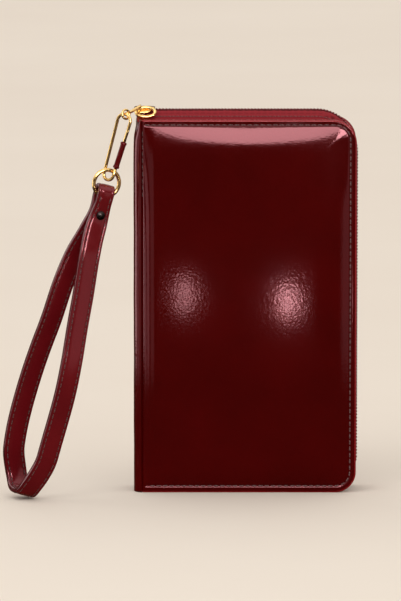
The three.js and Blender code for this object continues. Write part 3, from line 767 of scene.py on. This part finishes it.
def spine_stitches():
    """A short row beside the spine's crease, at the top of the front cover."""

    def place(distance):
        z = SPINE_ROW_TOP - distance
        lift = panel_lift(SPINE_ROW_X, z, PILLOW[FRONT])
        return Vector((SPINE_ROW_X, -(HALF_DEPTH + lift + 0.05), z)), Vector((-0.3, -1, 0)).normalized()

    row = stitches("spine_side_stitches", place, SPINE_ROW_LENGTH, DARK_THREAD, pitch=3.4, radius=0.22)
    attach(row, "front_half")


# ---------------------------------------------------------------- spine

def spine_profile(radius, end):
    """Half the spine's section from the hinge crease to the middle of the back, as (x, depth)."""
    points = list(end)
    for i in range(13):
        angle = math.radians(mix(101, 180, i / 12))
        points.append((HINGE_X + radius * math.cos(angle), SPINE_CENTRE_DEPTH + radius * math.sin(angle)))
    points += [(HINGE_X - radius, depth) for depth in (6, 4, 2)]
    return points


def spine_section(radius, end):
    """The spine's whole section, from the front cover to the back one."""
    half = spine_profile(radius, end)
    return [(x, -depth) for x, depth in half] + [(x, depth) for x, depth in reversed(half)]


def spine_bend(x, z):
    """How far the spine's leather gives inwards: slight waves, and the pinch at the top end."""
    wave = 0.05 * math.sin(z * 0.11) + 0.03 * math.sin(z * 0.29 + 1)
    wave += TOP_PINCH * ease(z, PINCH_START, PINCH_END) ** 2
    return wave * clamp((PINCH_WIDTH - x) / PINCH_WIDTH)


def spine():
    outer = spine_section(SPINE_RADIUS, ((3.6, 11.7), (3.54, 11.95), (3.42, 12.2)))
    inner = spine_section(SPINE_RADIUS - LEATHER, ((3.5, 11.4), (3.48, 11.35), (3.45, 11.3)))
    rounded_end = ((0.0, 0.55), (0.1, 0.3), (0.28, 0.1), (0.6, 0.0))
    heights = list(rounded_end)
    heights += [(COVER_TOP * i / 40, 0.0) for i in range(1, 40)]
    heights += [(COVER_TOP - z, inset) for z, inset in reversed(rounded_end)]
    points = []
    for z, inset in heights:
        share = inset / LEATHER
        for a, b in zip(outer, inner):
            points.append(Vector((mix(a[0], b[0], share) + spine_bend(a[0], z), mix(a[1], b[1], share), z)))
        points += [Vector((b[0] + spine_bend(b[0], z), b[1], z)) for b in reversed(inner)]
    columns = 2 * len(outer)
    faces = grid_faces(len(heights), columns, False, True)
    half = len(outer)
    last = (len(heights) - 1) * columns
    for k in range(half - 1):
        faces.append((k, k + 1, columns - 2 - k, columns - 1 - k))
        faces.append((last + k, last + k + 1, last + columns - 2 - k, last + columns - 1 - k))
    made = face_out(piece("spine_wrap", points, faces, [PATENT], flat_angle=50))
    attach(made, "spine")
    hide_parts("spine_leather")


# ---------------------------------------------------------------- main zip

def zip_at(distance, left=ZIP_LEFT):
    """The covers' zipped edge: point, outward direction and crown height at a distance along it."""
    top = ZIP_CORNER_X - left
    arc = CORNER_RADIUS * math.pi / 2
    side = ZIP_CORNER_Z - CORNER_RADIUS
    if distance < top:
        return left + distance, COVER_TOP, 0.0, 1.0, CROWN_TOP
    distance -= top
    if distance < arc:
        angle = math.pi / 2 * (1 - distance / arc)
        crown = mix(CROWN_TOP, CROWN_RIGHT, ease(distance, 0, arc))
        x = ZIP_CORNER_X + CORNER_RADIUS * math.cos(angle)
        z = ZIP_CORNER_Z + CORNER_RADIUS * math.sin(angle)
        return x, z, math.cos(angle), math.sin(angle), crown
    distance -= arc
    if distance < side:
        return COVER_RIGHT, ZIP_CORNER_Z - distance, 1.0, 0.0, CROWN_RIGHT
    distance -= side
    if distance < arc:
        angle = -math.pi / 2 * distance / arc
        crown = mix(CROWN_RIGHT, CROWN_BOTTOM, ease(distance, 0, arc))
        x = ZIP_CORNER_X + CORNER_RADIUS * math.cos(angle)
        z = CORNER_RADIUS + CORNER_RADIUS * math.sin(angle)
        return x, z, math.cos(angle), math.sin(angle), crown
    distance -= arc
    return ZIP_CORNER_X - distance, 0.0, 0.0, -1.0, CROWN_BOTTOM


def zip_length(left=ZIP_LEFT):
    return 2 * (ZIP_CORNER_X - left) + CORNER_RADIUS * math.pi + ZIP_CORNER_Z - CORNER_RADIUS


def tape_point(station, side, depth, share, inset=0.0):
    x, z, out_x, out_z, crown = station
    height = TAPE_FOOT + (crown - TAPE_DROP - TAPE_FOOT) * share - inset
    return Vector((x + out_x * height, side * depth, z + out_z * height))


def tape_strip(half, side):
    length = zip_length(TAPE_LEFT)
    count = 260
    points = []
    for i in range(count + 1):
        distance = length * i / count
        station = zip_at(distance, TAPE_LEFT)
        ripple = 0.04 * math.sin(distance * 0.5) + 0.03 * math.sin(distance * 1.31 + side)
        for depth, share in TAPE_LINE:
            points.append(tape_point(station, side, depth, share, -ripple * share))
        for depth, share in reversed(TAPE_LINE):
            points.append(tape_point(station, side, depth - 0.01, share, TAPE_THICKNESS))
    faces = capped_faces(count + 1, 2 * len(TAPE_LINE))
    strip = face_out(piece(f"{half}_tape", points, faces, [TAPE], flat_angle=60))
    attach(strip, f"{half}_half")
    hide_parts(f"{half}_zip_tape")


def tape_stitches(half, side):
    def place(distance):
        station = zip_at(distance, TAPE_ROW_LEFT)
        out = Vector((station[2], side * 0.75, station[3])).normalized()
        return tape_point(station, side, TAPE_ROW_DEPTH, TAPE_ROW_SHARE) + out * 0.12, out

    row = stitches(f"{half}_tape_stitches", place, zip_length(TAPE_ROW_LEFT), TAPE_THREAD, pitch=2.1,
                   share=0.84, radius=0.26)
    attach(row, f"{half}_half")


def zip_teeth(half, side):
    """Separate teeth at an even pitch along the crown. The back's sit between the front's."""
    parts = []
    distance = 0.0 if side == FRONT else TOOTH_PITCH / 2
    while distance < zip_length():
        x, z, out_x, out_z, crown = zip_at(distance)
        out = Vector((out_x, 0, out_z))
        along = Vector((out_z, 0, -out_x))
        origin = Vector((x, 0, z)) + out * crown
        points = []
        for depth, size in TOOTH_DEPTHS:
            for a, h in TOOTH_OUTLINE:
                level = mix(TOOTH_MIDDLE, h, size)
                points.append(origin + along * (a * size) + out * level + Vector((0, side * depth, 0)))
        parts.append((points, capped_faces(len(TOOTH_DEPTHS), len(TOOTH_OUTLINE))))
        on_corner = out_x > 0.001 and abs(out_z) > 0.001
        distance += TOOTH_PITCH / (1 + (crown / CORNER_RADIUS if on_corner else 0))
    points, faces = merged(parts)
    row = face_out(piece(f"{half}_teeth", points, faces, [TEETH], flat_angle=40))
    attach(row, f"{half}_half")
    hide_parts(f"{half}_zip_teeth")


# ---------------------------------------------------------------- fittings

CLIP_TOP = cad(-59.6, -20, 192.4)
CLIP_FOOT = cad(-69, -20, 159.6)
CLIP_ALONG = (CLIP_FOOT - CLIP_TOP).normalized()
CLIP_LENGTH = (CLIP_FOOT - CLIP_TOP).length
CLIP_ACROSS = -Vector((0, 1, 0)).cross(CLIP_ALONG)
CLIP_ACROSS.rotate(Quaternion(CLIP_ALONG, -CLIP_TURN))
CLIP_ACROSS.normalize()
CLIP_NORMAL = CLIP_ALONG.cross(CLIP_ACROSS)


def on_clip(across, along):
    return CLIP_TOP + CLIP_ACROSS * across + CLIP_ALONG * along


def on_leg(along):
    start, end = CLIP_TOP_RADIUS, CLIP_LENGTH - CLIP_FOOT_RADIUS
    share = (along - start) / (end - start)
    return on_clip(mix(CLIP_TOP_RADIUS, CLIP_FOOT_RADIUS, share), along)


def lathe(name, profile, centre, axis, material, sides=48, closed=False):
    """Turns a profile of (distance along the axis, radius) about the axis."""
    side = axis.orthogonal().normalized()
    up = axis.cross(side)
    points = []
    for along, radius in profile:
        for k in range(sides):
            angle = 2 * math.pi * k / sides
            spoke = side * (radius * math.cos(angle)) + up * (radius * math.sin(angle))
            points.append(centre + axis * along + spoke)
    rings = len(profile)
    faces = grid_faces(rings, sides, True, True) if closed else capped_faces(rings, sides)
    return face_out(piece(name, points, faces, [material], flat_angle=40))


def gold_piece(name, parts, body, replaced):
    points, faces = merged(parts)
    made = face_out(piece(name, points, faces, [GOLD]))
    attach(made, body)
    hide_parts(replaced)
    return made


def clip():
    path = [on_leg(WIRE_GAP[1])]
    foot = CLIP_LENGTH - CLIP_FOOT_RADIUS
    steps = 32
    for i in range(steps + 1):
        angle = math.pi * i / steps
        path.append(on_clip(CLIP_FOOT_RADIUS * math.cos(angle), foot + CLIP_FOOT_RADIUS * math.sin(angle)))
    for i in range(steps + 1):
        angle = math.pi + math.pi * i / steps
        path.append(on_clip(CLIP_TOP_RADIUS * math.cos(angle), CLIP_TOP_RADIUS * (1 + math.sin(angle))))
    path.append(on_leg(WIRE_GAP[0]))
    gold_piece("clip_wire", [tube(path, CLIP_WIRE, CLIP_NORMAL)], "clip", "clip_frame")


def gate_sleeve():
    start, end = on_leg(SLEEVE_SPAN[0]), on_leg(SLEEVE_SPAN[1])
    axis = (end - start).normalized()
    length = (end - start).length
    bead = [(0, SLEEVE_BORE), (0, 1.28), (0.12, 1.42), (0.35, SLEEVE_RADIUS), (1.0, SLEEVE_RADIUS),
            (1.2, 1.4), (1.4, 1.36)]
    profile = bead + [(length - along, radius) for along, radius in reversed(bead)]
    sleeve = lathe("clip_sleeve", profile, start, axis, SLEEVE, closed=True)
    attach(sleeve, "clip_gate")
    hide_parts("clip_gate_sleeve")


def oval(centre, side, up, steps):
    """Points round an ellipse whose half axes are side and up."""
    path = []
    for i in range(steps):
        angle = 2 * math.pi * i / steps
        path.append(centre + side * math.cos(angle) + up * math.sin(angle))
    return path


def torus(centre, axis, radius, wire, steps=56, sides=20):
    side = axis.orthogonal().normalized()
    up = axis.cross(side).normalized()
    return tube(oval(centre, side * radius, up * radius, steps), wire, axis, closed=True, sides=sides)


def pull():
    """The short pull: a small eye on the slider's bridge, a bar, and a larger eye that holds the clip."""
    bar = Curve([cad(*place) for place in PULL_BAR])
    steps = 24

    def waist(i):
        return 0.95 - 0.15 * math.sin(math.pi * i / steps)

    path = [bar.point(bar.length * i / steps) for i in range(steps + 1)]
    eye_axis = (CLIP_ACROSS * 0.85 + EYE_LEAN).normalized()
    bridge_eye = torus(cad(*BRIDGE_EYE), Vector((1, 0, 0)), 1.1, 0.42)
    clip_eye = torus(CLIP_TOP, eye_axis, 2.3, 0.55)
    gold_piece("pull_bar", [bridge_eye, clip_eye, tube(path, waist, Vector((0, 0, 1)))], "pull", "zip_pull")


def slider_section(reach, lift):
    """The wing's section from its back edge to the drooping front one, as (y, height above the crown)."""
    section = []
    for y in WING_SPOTS:
        shrunk = WING_MIDDLE + (y - WING_MIDDLE) * reach
        over = max(WING_FLAT - shrunk, 0.0)
        height = SLIDER_GAP - WING_DROOP * over * min(over, DROOP_REACH)
        dome = WING_DOME * (1 - ((y - WING_MIDDLE) / WING_HALF) ** 2) * reach
        section.append((shrunk, height + (lift + dome if lift else 0.0)))
    return section


def slider_wing(crown):
    """The domed oval wing over the teeth, in rows along X."""
    rows = 25
    points = []
    for lift in (WING_THICKNESS, 0.0):
        for i in range(rows):
            share = 2 * i / (rows - 1) - 1
            round_end = max(1 - abs(share) ** WING_POWER, 0.0) ** (1 / WING_POWER)
            reach = round_end * (0.95 - 0.12 * share)
            x = mix(SLIDER_LEFT, SLIDER_RIGHT, i / (rows - 1))
            points += [Vector((x, y, crown + z)) for y, z in slider_section(max(reach, 0.08), lift)]
    return points, sheet_faces(rows, len(WING_SPOTS))


def rounded_block(left, right, half, low, high):
    """A block along X and Z with soft corners and edges."""

    def squared(v):
        return math.copysign(abs(v) ** 0.6, v)

    sides = 32
    ends = ((low, 0.9), (low + 0.12, 1.0), (high - 0.12, 1.0), (high, 0.9))
    points = []
    for z, size in ends:
        for k in range(sides):
            angle = 2 * math.pi * k / sides
            x = (left + right) / 2 + (right - left) / 2 * size * squared(math.cos(angle))
            points.append(Vector((x, half * size * squared(math.sin(angle)), z)))
    return points, capped_faces(len(ends), sides)


def slider():
    """The slider: a domed wing over the teeth, a flat one under them, a post between, and the pull's loop."""
    crown = COVER_TOP + CROWN_TOP
    under = crown - TOOTH_HEIGHT - 0.25
    under_plate = rounded_block(0.2, 9.8, 3.2, under - 0.8, under)
    post = rounded_block(0.25, 1.45, 0.38, under - 0.3, crown + 0.5)
    rise = Vector((0, 0.5, 0.866)) * LOOP_RISE
    loop = oval(Vector(LOOP_CENTRE), Vector((LOOP_WIDTH, 0, 0)), rise, 72)
    loop_wire = tube(loop, LOOP_WIRE, Vector((0, -0.866, 0.5)), closed=True)
    gold_piece("slider_body", [slider_wing(crown), under_plate, post, loop_wire], "slider", "zip_slider")


def end_tabs():
    """Leather tabs that close the spine's two ends under the zip."""
    rows, columns = 8, 25
    for name, base, rise in END_TABS:
        points = []
        for lift in (0.0, -TAB_THICKNESS):
            for i in range(rows):
                x = mix(TAB_LEFT, TAB_RIGHT, i / (rows - 1))
                for k in range(columns):
                    y = mix(-TAB_HALF, TAB_HALF, k / (columns - 1))
                    z = base + rise * (1 - (y / 11) ** 2) + lift
                    points.append(Vector((x + 0.6 * (abs(y) / 11) ** 3, y, z)))
        tab = face_out(piece(name, points, sheet_faces(rows, columns), [RIM], flat_angle=50))
        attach(tab, "spine")


def softened(name, cad_name, body, width):
    """A copy of a CAD fitting with its edges rounded."""
    source = frame["nodes"][cad_name]
    obj = bpy.data.objects.new(name, source.data.copy())
    scene.collection.objects.link(obj)
    obj.data.materials.clear()
    obj.data.materials.append(GOLD)
    weld = obj.modifiers.new("weld", "WELD")
    weld.merge_threshold = 0.00001
    bevel = obj.modifiers.new("bevel", "BEVEL")
    bevel.width = width * MM
    bevel.segments = 3
    bevel.limit_method = "ANGLE"
    bevel.angle_limit = math.radians(28)
    for polygon in obj.data.polygons:
        polygon.use_smooth = True
    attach(obj, body)
    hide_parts(cad_name)
    return obj


# ---------------------------------------------------------------- ring and strap

RING_TOP = on_clip(0, (CLIP_TOP.z - RING_HEIGHT) / (CLIP_TOP.z - CLIP_FOOT.z) * CLIP_LENGTH)
STRAP_BEND = cad(-73.4, -20.8, 142.3)
RING_DOWN = (STRAP_BEND - RING_TOP).normalized()
RING_CENTRE = RING_TOP + RING_DOWN * RING_RADIUS
MIDDLE_LINE = Curve([
    RING_CENTRE, RING_CENTRE + RING_DOWN * 8, STRAP_BEND, cad(-82, -23.8, 119.9), cad(-91.5, -27.2, 84.4),
    cad(-98.5, -28.4, 58.2), cad(-105.5, -28.6, 32.4), cad(-109.3, -28.6, 14.6), cad(-112, -28.6, 3.1)])


def strap_frame(distance):
    """At a distance below the ring: the middle line's point, across the strap's width, and its front."""
    inside = clamp(distance, 0, MIDDLE_LINE.length)
    along = MIDDLE_LINE.tangent(inside)
    turn = mix(RING_TURN, STRAP_TURN, ease(distance, *TURN_SPAN))
    turn += (FOOT_TURN - STRAP_TURN) * ease(distance, FOOT_START, MIDDLE_LINE.length)
    across = Vector((math.cos(turn), math.sin(turn), 0))
    across = (across - along * across.dot(along)).normalized()
    return MIDDLE_LINE.point(inside), across, along.cross(across)


def loop_plan():
    side = [Vector((offset, distance, 0)) for offset, distance in LOOP_SIDE]
    mirrored = [Vector((-p.x, p.y, 0)) for p in reversed(side)]
    tip = Vector((0, MIDDLE_LINE.length, 0))
    return Curve([Vector((0, LOOP_TOP, 0))] + side + [tip] + mirrored, closed=True)


def loop_stations(count):
    """Round the strap's loop: centre, across, outward normal and half width at each step."""
    plan = loop_plan()
    flat = [plan.point(plan.length * i / count) for i in range(count)]
    path = []
    for p in flat:
        centre, _, front = strap_frame(p.y)
        path.append(centre + front * p.x)
    stations = []
    for i, centre in enumerate(path):
        _, across, _ = strap_frame(min(flat[i].y, RIVET_AT))
        along = (path[(i + 1) % count] - path[i - 1]).normalized()
        across = (across - along * across.dot(along)).normalized()
        face = along.cross(across).normalized()
        reach = mix(STRAP_NECK, STRAP_WIDTH, ease(flat[i].y, *NECK_SPAN)) / 2
        stations.append((centre, across, face, reach, along))
    return stations


def strap_section(reach):
    """Points round the strap's section as (across, lift), and which of them start an edge face."""
    half = STRAP_THICKNESS / 2
    seam = reach - STRAP_SEAM
    spots = [-(reach - 0.4), -(reach - 0.9), -(seam + 0.3), -seam, -(seam - 0.3), -(seam - 0.8), -seam * 0.4]
    spots += [0.0] + [-spot for spot in reversed(spots)]

    def level(u):
        groove = 0.16 * math.exp(-((abs(u) - seam) / 0.32) ** 2)
        return half + 0.14 * (1 - (u / reach) ** 2) - groove - 0.05

    top = [(u, level(u)) for u in spots]
    corner = reach - 0.12
    right = [(corner, half - 0.12), (reach, half - 0.5), (reach, -(half - 0.5)), (corner, -(half - 0.12))]
    bottom = [(-u, -level(u)) for u in spots]
    left = [(-u, -v) for u, v in right]
    return top + right + bottom + left, len(top)


def strap():
    count = 420
    stations = loop_stations(count)
    points = []
    for centre, across, face, reach, _ in stations:
        section, top = strap_section(reach)
        points += [centre + across * u + face * v for u, v in section]
    columns = len(points) // count
    faces = grid_faces(count, columns, True, True)
    marks = []
    for number in range(len(faces)):
        k = number % columns % (top + 4)
        marks.append(1 if k >= top - 1 else 0)
    made = face_out(piece("wrist_strap", points, faces, [STRAP, PAINTED_EDGE], marks, flat_angle=55))
    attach(made, "strap")
    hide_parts("strap_loop")
    strap_stitches(stations)


def strap_stitches(stations):
    """Two rows on each face of the strap, leaving out the folded part at the ring."""
    count = len(stations)
    parts = []
    pitch, length = 4, 3
    lift = STRAP_THICKNESS / 2 + 0.02
    for start in range(0, count - pitch, pitch):
        near, far = stations[start], stations[start + length]
        if near[0].z > RING_CENTRE.z - RING_CLEARANCE:
            continue
        for side, way in ((-1, -1), (-1, 1), (1, -1), (1, 1)):
            ends = []
            for centre, across, face, reach, _ in (near, far):
                ends.append(centre + across * (side * (reach - STRAP_SEAM)) + face * (way * lift))
            parts.append(capsule(ends[0], ends[1], near[2] * way, 0.24))
    points, faces = merged(parts)
    row = face_out(piece("strap_stitches", points, faces, [DARK_THREAD]))
    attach(row, "strap")


def ring():
    _, across, _ = strap_frame(0)
    centre = RING_CENTRE + RING_DOWN * RING_OUT
    radius = RING_RADIUS + RING_OUT
    path = oval(centre, across * radius, RING_DOWN * radius, 96)
    wire = tube(path, RING_WIRE, across.cross(RING_DOWN), closed=True)
    gold_piece("round_ring", [wire], "ring", "strap_ring")


def rivet():
    centre, _, front = strap_frame(RIVET_AT)
    face = RIVET_FACE
    brim = face + 0.25
    dome = [(face - 0.15, RIVET_RADIUS - 0.05), (face, RIVET_RADIUS), (brim, RIVET_RADIUS)]
    for i in range(1, 10):
        dome.append((brim + RIVET_DOME * math.sin(0.15 * i), RIVET_RADIUS * math.cos(0.15 * i)))
    dome.append((brim + RIVET_DOME, 0.05))
    cap = lathe("rivet_dome", dome, centre, front, RIVET)
    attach(cap, "strap")
    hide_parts("rivet_cap")
    post = [(-face - 0.7, 0.3), (-face - 0.7, 1.9), (-face - 0.55, 2.15), (-face - 0.2, 2.2), (-face, 2.1),
            (-face, 1.05), (face - 0.1, 1.05)]
    back = lathe("rivet_washer", post, centre, front, RIVET)
    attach(back, "strap")
    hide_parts("rivet_post")


# ---------------------------------------------------------------- inside

def slot_stitches(half, side):
    """A row of stitches beside the opening of each card slot and along its two short ends."""
    left = HINGE_X + 4
    low, high = SLOT_MARGIN + SLOT_SEAM, COVER_TOP - SLOT_MARGIN - SLOT_SEAM
    for number in range(SLOT_COUNT):
        right = SLOT_RIGHT - SLOT_STEP * number - SLOT_SEAM
        depth = SLOT_FACE - SLOT_LAYER * number
        line = Curve([Vector((left, 0, high)), Vector((right, 0, high)), Vector((right, 0, low)),
                      Vector((left, 0, low))], steps=1)

        def place(distance):
            p = line.point(distance)
            return Vector((p.x, side * depth, p.z)), Vector((0, -side, 0))

        name = f"{half}_slot_stitches_{number + 1}"
        row = stitches(name, place, line.length, THREAD, pitch=3.0, radius=0.2)
        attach(row, f"{half}_half")


def gusset_points(side, flip, rows, columns):
    """A fold of cloth from the half's lining (first column) to the coin pocket (last column)."""
    points = []
    for lift in (GUSSET_HALF, -GUSSET_HALF):
        for i in range(rows):
            x = mix(GUSSET_LEFT, GUSSET_RIGHT, i / (rows - 1))
            fold = mix(FOLD_SPINE, FOLD_MOUTH, i / (rows - 1))
            for k in range(columns):
                t = k / (columns - 1)
                depth = mix(GUSSET_OUTER, GUSSET_INNER, t) + lift
                z = mix(mix(GUSSET_TOP, fold, ease(t, 0, 0.55)), POCKET_TOP, ease(t, 0.55, 1))
                ripple = 0.06 * math.sin(x * 0.7 + z * 0.3)
                points.append(Vector((x, side * (depth + ripple), COVER_TOP - z if flip else z)))
    return points


def gussets():
    """Folded cloth between the coin pocket and each half."""
    rows, columns = 25, 13
    for end, flip in (("top", False), ("bottom", True)):
        for half, side in HALVES:
            name = f"gusset_{end}_{half}"
            points = gusset_points(side, flip, rows, columns)
            made = face_out(piece(f"{name}_fold", points, sheet_faces(rows, columns), [LINING]))
            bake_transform(made)
            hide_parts(name)


# ---------------------------------------------------------------- what stays as the CAD made it

def finish_cad_nodes():
    looks = {"gold_metal": GOLD, "lining": LINING, "inner_leather": INNER, "zip_tape": TAPE,
             "zip_teeth": TEETH, "foam": FOAM, "board": BOARD, "rivet": RIVET, "patent_leather": PATENT,
             "strap_leather": STRAP}
    for entry in frame["record"]["subparts"]:
        data = frame["nodes"][entry["node"]].data
        data.materials.clear()
        data.materials.append(looks[entry["material_slot"]])


# ---------------------------------------------------------------- floor, light, camera

def floor():
    material, tree, surface = new_shader("pale_floor", Roughness=0.9)
    grains = noise(tree, place_of(tree), 3.0, 4.0).outputs["Fac"]
    tone = colours(tree, grains, (0.80, 0.71, 0.61), (0.86, 0.78, 0.68))
    tree.links.new(tone, surface.inputs["Base Color"])
    corners = [Vector((x * FLOOR_HALF, y * FLOOR_HALF, 0)) for x, y in ((-1, -1), (1, -1), (1, 1), (-1, 1))]
    ground = piece("floor", corners, [(0, 1, 2, 3)], [material])
    ground.visible_glossy = False


def soft_light(name, place, target, width, height, radiance, shape="RECTANGLE", diffuse=False):
    """An area light whose face has a given radiance, turned towards a target."""
    data = bpy.data.lights.new(name, "AREA")
    data.shape = shape
    data.size = width
    data.size_y = height
    area = width * height * (math.pi / 4 if shape == "ELLIPSE" else 1)
    data.energy = radiance * math.pi * area
    lamp = bpy.data.objects.new(name, data)
    scene.collection.objects.link(lamp)
    lamp.location = place
    lamp.rotation_euler = (target - place).to_track_quat("-Z", "Y").to_euler()
    lamp.visible_camera = False
    lamp.visible_diffuse = diffuse
    return lamp


def mirrored_place(x, z, distance):
    """Where a small lamp has to stand for the front cover to show it at (x, z) from the camera."""
    step = 2.0

    def lift(at_x, at_z):
        return panel_lift(at_x, at_z, PILLOW[FRONT])

    slope_x = (lift(x + step, z) - lift(x - step, z)) / (2 * step)
    slope_z = (lift(x, z + step) - lift(x, z - step)) / (2 * step)
    normal = Vector((-slope_x, -1, -slope_z)).normalized()
    spot = Vector((x, -(HALF_DEPTH + lift(x, z)), z)) * MM
    from_camera = (spot - camera_place()).normalized()
    bounce = from_camera - normal * (2 * from_camera.dot(normal))
    return spot + bounce * distance, spot


def camera_place():
    back = Vector((0, -math.cos(ELEVATION), math.sin(ELEVATION)))
    return LOOK_AT + back * DISTANCE


def lights():
    world = bpy.data.worlds.new("studio")
    scene.world = world
    world.use_nodes = True
    tree = world.node_tree
    background = tree.nodes["Background"]
    direction = tree.nodes.new("ShaderNodeTexCoord").outputs["Generated"]
    height = node(tree, "ShaderNodeSeparateXYZ", Vector=direction).outputs["Z"]
    upper = stretch(tree, height, 0.16, 0.5, 0.0, 1.0)
    tree.links.new(colours(tree, upper, (0.05, 0.03, 0.015), (1.0, 0.97, 0.94)), background.inputs["Color"])
    background.inputs["Strength"].default_value = 1.07
    soft_light("key_box", Vector((-0.9, -1.3, 1.9)), WALLET_MIDDLE, 1.1, 1.1, 1.6, diffuse=True)
    for name, place, target, width, depth, radiance in CARDS:
        soft_light(name, Vector(place), Vector(target), width, depth, radiance)
    for name, x, z, radiance in SPOTS:
        place, glint = mirrored_place(x, z, SPOT_DISTANCE)
        soft_light(name, place, glint, *SPOT_SIZE, radiance, shape="ELLIPSE")


def camera():
    data = bpy.data.cameras.new("camera")
    data.lens = LENS
    data.sensor_width = 36
    data.clip_start = 0.05
    data.clip_end = 60
    eye = bpy.data.objects.new("camera", data)
    scene.collection.objects.link(eye)
    eye.location = camera_place()
    eye.rotation_euler = (LOOK_AT - eye.location).to_track_quat("-Z", "Y").to_euler()
    scene.camera = eye


scene.view_settings.view_transform = "Standard"
finish_cad_nodes()
for half_name, half_side in HALVES:
    cover_panel(half_name, half_side)
    cover_stitches(half_name, half_side)
    tape_strip(half_name, half_side)
    tape_stitches(half_name, half_side)
    zip_teeth(half_name, half_side)
    slot_stitches(half_name, half_side)
spine()
clip()
gate_sleeve()
pull()
slider()
end_tabs()
spine_stitches()
softened("coin_slider_body", "coin_slider", "coin_slider", 0.1)
softened("coin_pull_tag", "coin_pull", "coin_pull", 0.1)
ring()
strap()
rivet()
gussets()
floor()
lights()
camera()
